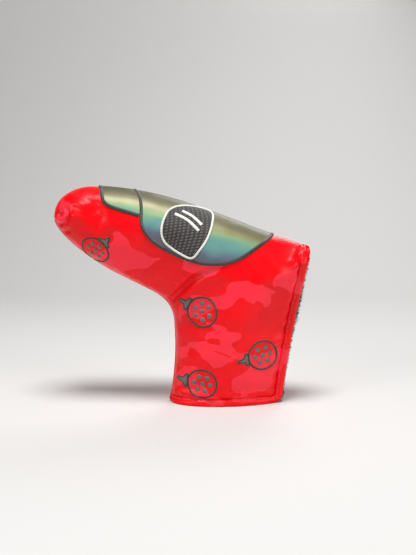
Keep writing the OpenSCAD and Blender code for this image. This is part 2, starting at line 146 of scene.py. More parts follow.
light("overhead_soft_box", (0.0, -0.22, 0.9), (0, 0, 0.06), 0.34, 9.5)
light("left_soft_box", (-0.8, -0.7, 0.5), (0, 0, 0.07), 0.45, 3.4)
light("right_soft_box", (0.85, -0.6, 0.3), (0.02, 0, 0.06), 0.4, 3.6)
light("back_soft_box", (0.3, 0.7, 0.7), (0, 0, 0.08), 0.5, 3)
world = bpy.data.worlds.new("studio_air")
world.use_nodes = True
world.node_tree.nodes["Background"].inputs["Color"].default_value = linear("#E6E8EC")
world.node_tree.nodes["Background"].inputs["Strength"].default_value = 0.12
scene.world = world


# --- Boot pattern -------------------------------------------------------------------
# The boot is one padded wrap folded over its ridge and sewn shut along its underside.
# It is charted by u, from the toe tip to the foot, and t, from the ridge or the open
# rim (0) down either wall to the underside seam (1); side is -1 near and 1 far.

low, high = np.array(cad_box) / MM
cover_l = high[0] - low[0]
shell_low, shell_high = np.array(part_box("outer_shell")) / MM
toe = np.array([shell_low[0], shell_high[2] - 18])
ridge_top = shell_high[2]
heel = np.array([cover_l / 2 - 0.3, ridge_top - 37.5])
foot_heel_x = cover_l / 2 - 16.8
foot_front_x = foot_heel_x - 71
foot_corner_r = 6
leg_top = np.array([foot_front_x + 3, 48])
full_half = shell_high[1] + 0.1
foot_taper = 0.82
skin_t, foam_t, lining_t = 1.0, 2.0, 1.6
wall_t = skin_t + foam_t + lining_t + 0.1
slit_half = wall_t + 0.2
arch_half, arch_run, arch_fade = 8.4, 8, 28
BELLY_POWER, CROWN_POWER = 1.15, 1.35
U_CORNER, U_LEG, U_FOOT = 11, 18, 21


def bezier(a, b, c, d, n):
    """A cubic curve from a to d in n steps, steered by b and c."""
    t = np.linspace(0, 1, n + 1)[:, None]
    s = 1 - t
    a, b, c, d = map(np.asarray, (a, b, c, d))
    return a * s**3 + 3 * b * s * s * t + 3 * c * s * t * t + d * t**3


class Path:
    """A line of points in the XZ plane, read by share of its length."""

    def __init__(self, *stretches):
        self.points = np.vstack([stretches[0]] + [s[1:] for s in stretches[1:]])
        steps = np.linalg.norm(np.diff(self.points, axis=0), axis=1)
        self.run = np.concatenate([[0], np.cumsum(steps)])
        self.length = self.run[-1]

    def at(self, share):
        """Points at shares of the length."""
        s = np.clip(share, 0, 1) * self.length
        return np.stack([np.interp(s, self.run, self.points[:, k]) for k in (0, 1)], -1)

    def tangent(self, share):
        """Unit directions at shares of the length."""
        step = 0.5 / self.length
        t = self.at(np.clip(share + step, 0, 1)) - self.at(np.clip(share - step, 0, 1))
        return t / np.maximum(np.linalg.norm(t, axis=-1, keepdims=True), 1e-9)


peak = np.array([toe[0] + 23.5, ridge_top])
belly_toe = np.array([toe[0] + 36.5, ridge_top - 52])
belly_heel = belly_toe + (23.5, -11.8)
crown_path = Path(
    bezier(toe, toe + (0, 10), peak - (12, 0), peak, 40),
    bezier(peak, peak + (45, 0), heel + (-42.3, 16.6), heel, 90),
)
belly_path = Path(
    bezier(toe, toe - (0, 9.5), belly_toe + (-15.8, 8.7), belly_toe, 40),
    bezier(belly_toe, belly_toe + (7.8, -3.9), belly_heel - (7.8, -3.9), belly_heel, 12),
    bezier(belly_heel, belly_heel + (10.7, -5.4), leg_top + (0, 12), leg_top, 40),
)
front_path = Path(
    bezier(leg_top, leg_top + (1.3, -18), (foot_front_x + 2.3, 15), (foot_front_x, 0), 40)
)
heel_path = Path(
    bezier(heel, heel - (4.5, 23.5), (foot_heel_x + 2, 30), (foot_heel_x, foot_corner_r), 60)
)


def turned(t):
    """Directions of the XZ plane turned a quarter left."""
    return np.stack([-t[..., 1], t[..., 0]], -1)


def section(u):
    """What shapes the sections at u.

    Their two ends and inward normals, fullest half thickness, half gap, where they are
    fullest, and how round they are above that.
    """
    u = np.asarray(u, float)
    s = np.clip(u / U_CORNER, 1e-4, 1)
    t = np.clip((u - U_CORNER) / (U_LEG - U_CORNER), 0, 1)
    turn = np.clip((u - U_LEG) / (U_FOOT - U_LEG), 0, 1) * math.pi / 2
    arm, corner = (u <= U_CORNER)[..., None], (u > U_LEG)[..., None]
    edge_share = np.interp(u, [U_CORNER, U_CORNER + 1, U_LEG], [0, 0.09, 1])
    front_share = t * (1 - foot_corner_r / leg_top[1])
    z = foot_corner_r * (1 - np.sin(turn))
    low_corner = np.stack([foot_front_x + 0.4 * z / foot_corner_r, z], -1)
    high_corner = np.stack([foot_heel_x - foot_corner_r * (1 - np.cos(turn)), z], -1)
    a = np.where(arm, belly_path.at(s**BELLY_POWER), np.where(corner, low_corner, front_path.at(front_share)))
    b = np.where(arm, crown_path.at(s**CROWN_POWER), np.where(corner, high_corner, heel_path.at(edge_share)))
    na = np.where(arm, turned(belly_path.tangent(s**BELLY_POWER)), turned(front_path.tangent(front_share)))
    fade = np.clip(U_CORNER + 1 - u, 0, 1)[..., None]
    nb = -turned(crown_path.tangent(s**CROWN_POWER)) * fade
    reach = np.linalg.norm(b - a, axis=-1) / 2
    full = (np.maximum(reach, 0.02) ** -4 + full_half**-4) ** -0.25
    full = np.where(u > U_CORNER, full_half * (1 - (1 - foot_taper) * t * t), full)
    below = edge_share * heel_path.length
    arch = np.clip(1 - np.maximum(0, below - arch_run) / arch_fade, 0, 1) ** 2
    gap = slit_half + (arch_half - slit_half) * arch
    gap = gap * np.sqrt(np.clip(1 - (1 - np.clip(below / arch_run, 0, 1)) ** 2, 0, 1))
    gap = np.where(u > U_CORNER, gap, 0)
    fullest = np.interp(u, [0, U_CORNER, U_LEG], [0.5, 0.44, 0.4])
    power = np.interp(u, [U_CORNER, U_CORNER + 1, U_CORNER + 2, U_CORNER + 3], [0.5, 0.7, 0.85, 1])
    return a, b, na, nb, full, gap, fullest, power


def bare_surface(u, t, side, depth=0.0):
    """Points of the pattern's surface, a depth under the skin, before it is padded out."""
    u, t, side = np.broadcast_arrays(*[np.asarray(x, float) for x in (u, t, side)])
    a, b, na, nb, full, gap, fullest, power = section(u)
    v = (1 + np.cos(np.pi * t)) / 2
    a, b = a + na * depth, b + nb * depth
    p = a + (b - a) * v[..., None]
    full = np.maximum(full - depth, 0.3)
    rim = np.where(u > U_CORNER, np.maximum(gap - depth, 0.15 * np.clip(u - U_CORNER, 0, 1)), 0)
    q = np.where(v < fullest, (fullest - v) / fullest, (v - fullest) / (1 - fullest))
    inside = np.clip(1 - q * q, 0, 1)
    y = np.where(v < fullest, full * np.sqrt(inside), rim + (full - rim) * inside**power)
    return np.stack([p[..., 0], side * y, p[..., 1]], -1)


def chart(x, z):
    """u and t of the points of a wall that lie over points of the XZ plane."""
    p = np.stack(np.broadcast_arrays(np.asarray(x, float), np.asarray(z, float)), -1)
    lo, hi = np.full(p.shape[:-1], 0.3), np.full(p.shape[:-1], float(U_FOOT))
    for _ in range(34):
        mid = (lo + hi) / 2
        a, b = section(mid)[:2]
        e, f = b - a, p - a
        passed = e[..., 0] * f[..., 1] - e[..., 1] * f[..., 0] >= 0
        hi, lo = np.where(passed, mid, hi), np.where(passed, lo, mid)
    a, b = section(hi)[:2]
    e = b - a
    v = np.clip(((p - a) * e).sum(-1) / (e * e).sum(-1), 0, 1)
    return hi, np.arccos(np.clip(2 * v - 1, -1, 1)) / np.pi


# the chart's lines, closer together at the toe tip, the heel corner and the foot
U_LINES = np.unique(np.concatenate([
    0.02 + 1.4 * np.linspace(0, 1, 20) ** 1.5, np.linspace(1.42, 10.5, 78),
    np.linspace(10.5, 12.5, 25), np.linspace(12.5, 18, 55), np.linspace(18, U_FOOT, 13)]))
COLUMNS = 67
T_LINES = np.linspace(0, 1, COLUMNS)
CHART_U, CHART_T = np.meshgrid(U_LINES, T_LINES, indexing="ij")
RIDGE = U_LINES <= U_CORNER + 1e-6


def grid_faces(ids, flip=False):
    """Four-sided faces between the numbers of a grid."""
    quads = np.stack([ids[:-1, :-1], ids[:-1, 1:], ids[1:, 1:], ids[1:, :-1]], -1).reshape(-1, 4)
    return [list(q) for q in (quads[:, ::-1] if flip else quads)]


# --- Padding out ----------------------------------------------------------------------
# Foam behind soft leather puffs out between the lines where it is sewn down. The
# closed boot is blown up a little as cloth, held at its hem and its underside seam.

pad_start_depth = 1.5
pad_most = 2.0
pad_frames = 20
# the form is only blown up and then removed, so its finish never shows
form_cloth = new_material("padding_form_cloth")[0]


def padded_moves():
    """How far each point of the chart moves, on each side, when the boot is padded out."""
    blunt_u = np.maximum(CHART_U, 0.5)
    inner = np.stack([bare_surface(blunt_u, CHART_T, side, pad_start_depth) for side in (-1, 1)])
    form = np.concatenate([inner[0][:, ::-1], inner[1]], axis=1)
    rows, around = form.shape[:2]
    ids = np.arange(rows * around).reshape(rows, around)
    last = ids[-1]
    faces = grid_faces(ids)
    faces += [[rows * around, ids[0, j + 1], ids[0, j]] for j in range(around - 1)]
    faces += [[last[j], last[j + 1], last[-2 - j], last[-1 - j]] for j in range(COLUMNS - 1)]
    body = build("padding_form", np.vstack([form.reshape(-1, 3), form[0].mean(0)]), faces, form_cloth)
    bpy.context.view_layer.objects.active = body
    remesh = body.modifiers.new("even_cloth", "REMESH")
    remesh.mode, remesh.voxel_size = "VOXEL", 0.0042
    bpy.ops.object.modifier_apply(modifier="even_cloth")
    count = len(body.data.vertices)
    before = np.empty(count * 3)
    body.data.vertices.foreach_get("co", before)
    before = before.reshape(-1, 3)
    held = body.vertex_groups.new(name="sewn")
    rim_u, rim_t = np.linspace(U_CORNER, U_FOOT, 60), np.linspace(0, 1, 60)
    sewn = [bare_surface(U_LINES, 1.0, 1, pad_start_depth)]
    sewn += [bare_surface(rim_u, 0.0, side, pad_start_depth) for side in (-1, 1)]
    sewn += [bare_surface(float(U_FOOT), rim_t, side, pad_start_depth) for side in (-1, 1)]
    sewn = np.concatenate(sewn) * MM
    lines = kdtree.KDTree(len(sewn))
    for i, p in enumerate(sewn):
        lines.insert(p, i)
    lines.balance()
    for i, p in enumerate(before):
        held.add([i], float(np.clip(1 - (lines.find(p)[2] - 0.003) / 0.006, 0, 1)), "REPLACE")
    cloth = body.modifiers.new("cloth", "CLOTH")
    cloth.settings.quality = 5
    cloth.settings.mass = 0.3
    cloth.settings.tension_stiffness = 12
    cloth.settings.compression_stiffness = 12
    cloth.settings.bending_stiffness = 1.2
    cloth.settings.use_pressure = True
    cloth.settings.uniform_pressure_force = 4
    cloth.settings.shrink_min = -0.015
    cloth.settings.vertex_group_mass = "sewn"
    cloth.settings.effector_weights.gravity = 0
    cloth.collision_settings.use_collision = False
    cloth.collision_settings.use_self_collision = False
    cloth.point_cache.frame_start, cloth.point_cache.frame_end = 1, pad_frames
    for step in range(1, pad_frames + 1):
        scene.frame_set(step)
    shown = body.evaluated_get(bpy.context.evaluated_depsgraph_get())
    after = np.empty(count * 3)
    shown.data.vertices.foreach_get("co", after)
    moved = (after.reshape(-1, 3) - before) / MM
    scene.frame_set(1)
    bpy.data.objects.remove(body)
    size = np.linalg.norm(moved, axis=1, keepdims=True)
    moved *= np.minimum(1, pad_most / np.maximum(size, 1e-6))
    nearest = kdtree.KDTree(count)
    for i, p in enumerate(before):
        nearest.insert(p, i)
    nearest.balance()
    taken = np.zeros((inner.size // 3, 3))
    for i, p in enumerate(inner.reshape(-1, 3) * MM):
        found = nearest.find_n(p, 6)
        share = np.array([1 / (d + 0.0006) ** 2 for _, _, d in found])
        taken[i] = (moved[[k for _, k, _ in found]] * share[:, None]).sum(0) / share.sum()
    return taken.reshape(inner.shape)


moves = padded_moves()
# the ridge stays straight where it runs out over the opening
stiff_end = np.exp(-(((CHART_U - 10.9) / 1.5) ** 2) - (CHART_T / 0.16) ** 2)
moves *= (1 - 0.9 * stiff_end)[None, ..., None]


# --- Folds in the leather -------------------------------------------------------------
# The wrap creases where the arm turns into the leg, gathers into a small knot of folds
# at the toe, where its seam ends, and puckers gently along the sewn hem.

crease_line = np.array([(-11, 63.5), (-6, 67), (0, 73), (6.5, 79.5), (13, 84), (21, 87), (29, 88)])
crease_depth, crease_w = 2.9, 1.8
toe_knot = np.array([toe[0] + 5.2, toe[1] + 1.6])
knot_depth, knot_r = 2.8, 1.7
# crescents round the knot: radius, width, height, the angle they face and their reach
KNOT_RINGS = (
    (3.4, 1.3, 1.6, -70, 1.5),
    (5.9, 1.2, -1.4, -40, 1.0),
    (8.3, 1.5, 1.1, -35, 0.8),
    (11.3, 1.3, -1.3, -80, 0.45),
)
# ridges pulled from the knot up into the arm
KNOT_PULLS = ([(8, 6), (15, 8), (23, 6)], [(10, 1), (16, 1), (22, -3)], [(6, 10), (11, 13), (17, 14)])
pull_h, pull_w = 0.75, 1.6
# fainter folds fan out of the crotch: where each ends, and its depth
crotch = (-9, 66)
CROTCH_FOLDS = (((2, 92), 0.45), ((20, 68), 0.35), ((-20, 84), 0.3))
hem_w = 4.6


def distance_along(p, line):
    """Distance from points of the XZ plane to a line, and the share of its length there."""
    best, share = np.full(p.shape[:-1], 1e9), np.zeros(p.shape[:-1])
    run = np.concatenate([[0], np.cumsum(np.linalg.norm(np.diff(line, axis=0), axis=1))])
    for k in range(len(line) - 1):
        e = line[k + 1] - line[k]
        f = np.clip(((p - line[k]) @ e) / (e @ e), 0, 1)
        d = np.linalg.norm(p - line[k] - f[..., None] * e, axis=-1)
        share = np.where(d < best, (run[k] + f * (run[k + 1] - run[k])) / run[-1], share)
        best = np.minimum(best, d)
    return best, share


def swell(d, w):
    """A smooth rise at distance 0, which has died away at about two widths."""
    return np.exp(-((d / w) ** 2))


def fold_height(p, side):
    """How far the skin stands over or under its padded shape, in millimetres."""
    xz, y = p[..., [0, 2]], p[..., 1]
    x, z = xz[..., 0], xz[..., 1]
    wall = np.clip(np.abs(y) / 8, 0, 1)
    d, share = distance_along(xz, crease_line)
    deep = np.sin(np.pi * np.clip(share * 0.94 + 0.1, 0, 1)) ** 0.8 * wall
    across = d * np.sign((z - 84) * 0.7 - (x - 13) * 0.5 + 1e-9)
    # the crease, with a full lip below it and a lesser one above
    lips = 0.9 * swell(across + 5, 3.2) + 0.5 * swell(across - 5, 3.4)
    h = deep * (lips - crease_depth * swell(d, crease_w))
    for end, size in CROTCH_FOLDS:
        d, share = distance_along(xz, np.array([crotch, end], float))
        h -= size * np.sin(np.pi * np.clip(share, 0, 1)) * swell(d, 2.8) * wall
    r = np.hypot(x - toe_knot[0], z - toe_knot[1])
    angle = np.arctan2(z - toe_knot[1], x - toe_knot[0])
    front = np.clip(np.abs(y) / 6, 0, 1)
    for ring_r, w, size, middle, spread in KNOT_RINGS:
        facing = math.radians(middle) * (1 if side < 0 else 0.6)
        turned_from = np.angle(np.exp(1j * (angle - facing)))
        h += size * swell(r - ring_r, w) * swell(turned_from, spread) * front
    h -= knot_depth * swell(r, knot_r) * np.clip(np.abs(y) / 4, 0, 1)
    for line in KNOT_PULLS:
        d, share = distance_along(xz, toe + np.array(line, float))
        h += pull_h * np.sin(np.pi * np.clip(share, 0, 1)) * swell(d, pull_w) * front
    # broad soft dents of hand-filled foam
    h += 0.32 * wall * np.sin(x / 7.9 + 1.3 * side + 0.6) * np.sin(z / 9.7 + 0.8 * side)
    h += 0.16 * wall * np.sin((x + z) / 4.3 + 2.1) * np.sin((x - 1.3 * z) / 5.1 + side)
    # inside the hem the leather puckers and pillows, and the hem's stitches pull it in
    rim = np.vstack([heel_path.points, [(foot_heel_x - 1.8, 1.8), (foot_heel_x - 6, 0), (foot_front_x, 0)]])
    d, share = distance_along(xz, rim)
    run = share * 175
    puckers = np.sin(run / 1.55 + 0.9 * np.sin(run / 7))
    h += 0.34 * swell(d - hem_w - 1.5, 3.2) * puckers * wall
    h += 0.55 * swell(d - hem_w - 3.2, 2.4) * wall
    h -= 1.1 * swell(d - hem_w + 0.3, 1.7) * wall
    return h


def grid_normals(points):
    """Outward normals of both walls' grids, shared along the ridge and the seam."""
    du, dt = np.gradient(points, axis=1), np.gradient(points, axis=2)
    n = np.cross(du, dt)
    n[0] *= -1
    n /= np.maximum(np.linalg.norm(n, axis=-1, keepdims=True), 1e-12)
    for rows, column in ((RIDGE, 0), (np.full(len(U_LINES), True), -1)):
        both = n[0, rows, column] + n[1, rows, column]
        n[:, rows, column] = both / np.maximum(np.linalg.norm(both, axis=-1, keepdims=True), 1e-12)
    n[:, 0] = (-0.97, 0, -0.24)
    return n


bare_skin = np.stack([bare_surface(CHART_U, CHART_T, side) for side in (-1, 1)])
SKIN = bare_skin + moves
folds = np.stack([fold_height(SKIN[k], side) for k, side in enumerate((-1, 1))])
# where the ridge opens into the rim the two patterns are eased into each other
ease_u = np.exp(-(((U_LINES - 12) / 1.7) ** 2))
ease_t = np.clip(T_LINES / 0.08, 0, 1) * np.clip((1 - T_LINES) / 0.15, 0, 1)
ease = (ease_u[:, None] * ease_t)[..., None]
step_before = (U_LINES[1:-1] - U_LINES[:-2])[:, None, None]
step_after = (U_LINES[2:] - U_LINES[1:-1])[:, None, None]
for _ in range(60):
    middle = (SKIN[:, :-2] * step_after + SKIN[:, 2:] * step_before) / (step_before + step_after)
    SKIN[:, 1:-1] += 0.5 * ease[1:-1] * (middle - SKIN[:, 1:-1])
SKIN = SKIN + grid_normals(SKIN) * folds[..., None]
SKIN[:, RIDGE, 0] = SKIN[:, RIDGE, 0].mean(0)
SKIN[:, :, -1] = SKIN[:, :, -1].mean(0)
SKIN[..., 2] = np.maximum(SKIN[..., 2], 0)
NORMALS = grid_normals(SKIN)


def on_chart(grid, u, t, side):
    """Reads a grid of both walls between its lines."""
    u, t, side = np.broadcast_arrays(*[np.asarray(x, float) for x in (u, t, side)])
    i = np.clip(np.searchsorted(U_LINES, u) - 1, 0, len(U_LINES) - 2)
    f = np.clip((u - U_LINES[i]) / (U_LINES[i + 1] - U_LINES[i]), 0, 1)[..., None]
    j = np.clip((t * (COLUMNS - 1)).astype(int), 0, COLUMNS - 2)
    g = np.clip(t * (COLUMNS - 1) - j, 0, 1)[..., None]
    k = (side > 0).astype(int)
    first = grid[k, i, j] * (1 - g) + grid[k, i, j + 1] * g
    return first * (1 - f) + (grid[k, i + 1, j] * (1 - g) + grid[k, i + 1, j + 1] * g) * f


def normal_at(u, t, side):
    """Unit outward normals of the finished skin."""
    n = on_chart(NORMALS, u, t, side)
    return n / np.linalg.norm(n, axis=-1, keepdims=True)


def skin_at(u, t, side, raised=0.0):
    """Points of the finished skin, or of what is sewn to it, raised over it."""
    return on_chart(SKIN, u, t, side) + normal_at(u, t, side) * np.asarray(raised)[..., None]


# --- Outer leather --------------------------------------------------------------------
# Polyurethane leather on a knit back, printed in a three-tone red camouflage and
# semi-gloss. One wrap makes the boot; the far leg panel is its part that folds open.

leather_t = 0.9
fold_before, fold_after = 5.5 * MM, 8 * MM
fold_foot = np.array([foot_front_x + 14, 0])
fold_top = heel_path.at(13 / heel_path.length)
fold_run = (fold_top - fold_foot) / np.linalg.norm(fold_top - fold_foot)
fold_out = Vector((fold_run[1], 0, -fold_run[0]))
fold_at = Vector((fold_foot[0], 0, fold_foot[1])) * MM
bend_start, bend_end = fold_at - fold_before * fold_out, fold_at + fold_after * fold_out
split_row = int(np.argmin(np.abs(U_LINES - 10.5)))

# moulded grain of about 0.3 mm is too fine to show, so it is drawn at 0.9 mm
grain_mm, patch_mm = 0.9, 30.0


def add(tree, kind, links=None, stops=None, feeds=None, **settings):
    """Adds a node.

    links maps its inputs to values or to other nodes' outputs, stops are a ramp's places
    and colours, and feeds is the input that its first output goes to.
    """
    made = tree.nodes.new(kind)
    for name, value in settings.items():
        setattr(made, name, value)
    for name, value in (links or {}).items():
        if isinstance(value, bpy.types.NodeSocket):
            tree.links.new(value, made.inputs[name])
        else:
            made.inputs[name].default_value = value
    for i, (place, colour) in enumerate(stops or []):
        element = made.color_ramp.elements[i] if i < 2 else made.color_ramp.elements.new(place)
        element.position, element.color = place, linear(colour)
    if feeds is not None:
        tree.links.new(made.outputs[0], feeds)
    return made


def camo_leather(name, tones):
    """Printed leather: sharp-edged patches in three reds over a fine pressed grain."""
    material, tree, surface = new_material(name, IOR=1.45, Specular_IOR_Level=0.3)
    colour, rough, normal = (surface.inputs[i] for i in ("Base Color", "Roughness", "Normal"))
    rest = add(tree, "ShaderNodeAttribute", attribute_name="rest_mm").outputs["Vector"]
    stretch = {"Scale": (0.72, 0.8, 1.15), "Rotation": (0, 0.5, 0)}
    long = add(tree, "ShaderNodeMapping", {"Vector": rest, **stretch}).outputs[0]
    shift = add(tree, "ShaderNodeMapping", {"Vector": long, "Location": (71, 13, 29)}).outputs[0]
    edge = {"Detail": 2.4, "Roughness": 0.5, "Distortion": 0.5}
    broad = add(tree, "ShaderNodeTexNoise", {"Vector": long, "Scale": 1 / patch_mm, **edge})
    small = add(tree, "ShaderNodeTexNoise", {"Vector": shift, "Scale": 1.25 / patch_mm, **edge})
    dark_stops, pale_stops = [(0, tones[0]), (0.47, tones[1])], [(0, "#000000"), (0.57, "#FFFFFF")]
    dark = add(tree, "ShaderNodeValToRGB", {"Fac": broad.outputs["Fac"]}, dark_stops)
    pale = add(tree, "ShaderNodeValToRGB", {"Fac": small.outputs["Fac"]}, pale_stops)
    dark.color_ramp.interpolation = pale.color_ramp.interpolation = "CONSTANT"
    printed = add(tree, "ShaderNodeMix", data_type="RGBA")
    tree.links.new(pale.outputs["Color"], printed.inputs["Factor"])
    tree.links.new(dark.outputs["Color"], printed.inputs["A"])
    printed.inputs["B"].default_value = linear(tones[2])
    tree.links.new(printed.outputs["Result"], colour)
    # handling leaves the leather a touch duller in places
    handling = add(tree, "ShaderNodeTexNoise", {"Vector": rest, "Scale": 1 / 17, "Detail": 3})
    gloss = {"Value": handling.outputs["Fac"], "To Min": 0.27, "To Max": 0.42}
    add(tree, "ShaderNodeMapRange", gloss, feeds=rough)
    cells = add(tree, "ShaderNodeTexVoronoi", {"Vector": rest, "Scale": 1 / grain_mm})
    grain = {"Strength": 0.16, "Distance": 0.00012, "Height": cells.outputs["Distance"]}
    add(tree, "ShaderNodeBump", grain, feeds=normal)
    return material


# semi-gloss: a soft broad highlight that follows every fold
red_leather = camo_leather("printed_pu_leather", ("#E9000D", "#F0000F", "#F92A3C"))


def both_walls(near, far, from_row, first_row=0):
    """Points, numbers and row of a wrap: the near wall, and the far wall up to a row."""
    rows = len(U_LINES) - first_row
    near_ids = np.arange(rows * COLUMNS).reshape(rows, COLUMNS)
    far_rows = from_row + 1 - first_row
    far_ids = np.empty((far_rows, COLUMNS), int)
    far_ids[:, 0], far_ids[:, -1] = near_ids[:far_rows, 0], near_ids[:far_rows, -1]
    inner = far_rows * (COLUMNS - 2)
    far_ids[:, 1:-1] = rows * COLUMNS + np.arange(inner).reshape(far_rows, COLUMNS - 2)
    far_part = far[first_row : from_row + 1, 1:-1]
    return np.vstack([near[first_row:].reshape(-1, 3), far_part.reshape(-1, 3)]), near_ids, far_ids


def shell_faces(outside, shift, loops):
    """A closed wall: outer faces, the same turned over inside, and strips round the rims."""
    faces = list(outside) + [[i + shift for i in reversed(f)] for f in outside]
    for loop in loops:
        faces += [[b, a, a + shift, b + shift] for a, b in zip(loop[:-1], loop[1:])]
    return faces


def wrap(outer, inner, first_row=0):
    """One layer of the boot without its far leg panel, between two grids of both walls."""
    points, near_ids, far_ids = both_walls(outer[0], outer[1], split_row, first_row)
    under = both_walls(inner[0], inner[1], split_row, first_row)[0]
    outside = grid_faces(near_ids) + grid_faces(far_ids, flip=True)
    tip = [points[near_ids[0]].mean(0), under[near_ids[0]].mean(0)]
    count = len(points) + 1
    outside += [[count - 1, near_ids[0, j + 1], near_ids[0, j]] for j in range(COLUMNS - 1)]
    outside += [[count - 1, far_ids[0, j], far_ids[0, j + 1]] for j in range(COLUMNS - 1)]
    last = split_row - first_row
    loops = [near_ids[last:, 0][::-1], near_ids[-1][::-1], near_ids[last:, -1], far_ids[-1]]
    everything = np.vstack([points, tip[:1], under, tip[1:]])
    return everything, shell_faces(outside, count, loops)


def far_panel(outer, inner):
    """The same layer of the far leg panel, from the split by the heel corner to the foot."""
    ids = np.arange((len(U_LINES) - split_row) * COLUMNS).reshape(-1, COLUMNS)
    points, under = outer[1, split_row:].reshape(-1, 3), inner[1, split_row:].reshape(-1, 3)
    loops = [ids[0], ids[:, -1], ids[-1][::-1], ids[:, 0][::-1]]
    return np.vstack([points, under]), shell_faces(grid_faces(ids, flip=True), len(points), loops)


def seam_free(piece):
    """Shading normals taken from the chart, so that the two panels meet without a line."""
    mesh = piece.data
    found = np.empty(len(mesh.vertices) * 3)
    mesh.vertices.foreach_get("normal", found)
    found = found.reshape(-1, 3)
    if piece.name.startswith("far"):
        outer = NORMALS[1, split_row:].reshape(-1, 3)
    else:
        outer = both_walls(NORMALS[0], NORMALS[1], split_row)[0]
    found[: len(outer)] = outer
    mesh.normals_split_custom_set_from_vertices(found.tolist())


def fix(piece, slot, *nodes, folds=False):
    """Fixes a piece to the boot, or, for the far leg, only bakes its place into its points."""
    if folds:
        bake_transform(piece)
        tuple(bend_start)
        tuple(bend_end)
    else:
        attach(piece, "boot")
    if nodes:
        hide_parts(*nodes)


SKIN_BACK = SKIN - NORMALS * leather_t
SKIN_BACK[..., 2] = np.maximum(SKIN_BACK[..., 2], 0)
points, faces = wrap(SKIN, SKIN_BACK)
boot_leather = build("boot_leather", points, faces, red_leather)
seam_free(boot_leather)
fix(boot_leather, "red_leather", "outer_shell")

points, faces = far_panel(SKIN, SKIN_BACK)
far_leather = build("far_leg_leather", points, faces, red_leather)
seam_free(far_leather)
fix(far_leather, "red_leather", "flap_shell", folds=True)


# --- Foam and plush lining --------------------------------------------------------------
# Two millimetres of open-cell foam are sewn in behind the leather, and a short-pile
# charcoal plush faces it inside, so that the putter's face isn't scratched.

# cut foam: matt and cream, with open cells whose sunken edges are painted darker as shade
foam, tree, surface = new_material("open_cell_foam", Roughness=0.95)
rest = add(tree, "ShaderNodeAttribute", attribute_name="rest_mm").outputs["Vector"]
cell = {"Vector": rest, "Scale": 1 / 0.8}
walls = add(tree, "ShaderNodeTexVoronoi", cell, feature="DISTANCE_TO_EDGE").outputs["Distance"]
# darker along the cells' edges, where the bump sinks: painted shade
cell_pit_shade_stops = [(0, "#A39C8E"), (0.35, "#CFC8BA")]
add(tree, "ShaderNodeValToRGB", {"Fac": walls}, cell_pit_shade_stops, feeds=surface.inputs["Base Color"])
pores = {"Strength": 0.5, "Distance": 0.0003, "Height": walls}
add(tree, "ShaderNodeBump", pores, feeds=surface.inputs["Normal"])

# a dark brushed pile: no highlight, a pale bloom at grazing angles, tufts about 1.5 mm
plush, tree, surface = new_material("short_pile_plush", Roughness=0.95, Sheen_Weight=0.45)
surface.inputs["Sheen Roughness"].default_value = 0.5
surface.inputs["Specular IOR Level"].default_value = 0.15
rest = add(tree, "ShaderNodeAttribute", attribute_name="rest_mm").outputs["Vector"]
tuft = {"Vector": rest, "Scale": 1 / 1.5, "Detail": 4, "Roughness": 0.7}
tufts = add(tree, "ShaderNodeTexNoise", tuft).outputs["Fac"]
tuft_stops = [(0.3, "#1D1C1C"), (0.72, "#45423F")]
add(tree, "ShaderNodeValToRGB", {"Fac": tufts}, tuft_stops, feeds=surface.inputs["Base Color"])
nap = {"Strength": 0.8, "Distance": 0.0006, "Height": tufts}
add(tree, "ShaderNodeBump", nap, feeds=surface.inputs["Normal"])


def under_skin(depth, rim_inset, foot_share):
    """Both walls at a depth under the skin, inside the hem and clear of the middle plane."""
    low_end, high_end = section(CHART_U)[:2]
    wall_w = np.linalg.norm(high_end - low_end, axis=-1)
    inset = rim_inset * np.clip(CHART_U - U_CORNER, 0, 1) / wall_w
    t = CHART_T + (1 - CHART_T) * np.arccos(1 - 2 * inset) / np.pi
    u = np.where(CHART_U > U_LEG, U_LEG + (CHART_U - U_LEG) * foot_share, CHART_U)
    # by the heel corner, where the skin is drawn in, the layers lie a little deeper
    deeper = depth + 0.8 * np.exp(-(((CHART_U - 11.6) / 1.2) ** 2))
    layers = []
    for side in (-1, 1):
        layer = bare_surface(u, t, side, depth) + on_chart(shaping, u, t, side)
        under = skin_at(u, t, side)[..., 1] * side - deeper
        lean = np.minimum(layer[..., 1] * side, np.where(CHART_U > 9.5, under, full_half))
        layer[..., 1] = side * np.maximum(lean, np.where(CHART_U > U_CORNER, 0.15, 0))
        layers.append(layer)
    layer = np.stack(layers)
    layer[:, RIDGE, 0] = layer[:, RIDGE, 0].mean(0)
    layer[:, :, -1] = layer[:, :, -1].mean(0)
    layer[..., 2] = np.maximum(layer[..., 2], 0.6)
    return layer


shaping = SKIN - bare_skin
tip_row = int(np.argmin(np.abs(U_LINES - 1.1)))
# each layer: its two depths, its inset at the rim and share of the foot's turn, and its places
for what, depths, ends, material, slot, boot_node, flap_node in (
    ("foam", (1.2, 2.5), (2.4, 0.5), foam, "foam", "foam_padding", "flap_foam"),
    ("plush_lining", (2.6, 4.6), (1.0, 0.63), plush, "plush", "plush_lining", "flap_lining"),
):
    outer, inner = (under_skin(depth, *ends) for depth in depths)
    piece = build(f"boot_{what}", *wrap(outer, inner, tip_row), material)
    fix(piece, slot, boot_node)
    piece = build(f"far_leg_{what}", *far_panel(outer, inner), material)
    fix(piece, slot, flap_node, folds=True)


# --- Closure magnets --------------------------------------------------------------------
# Three nickel-plated disc magnets in each wall by the heel edge hold the leg shut. They
# lie in pockets in the foam, under the leather.

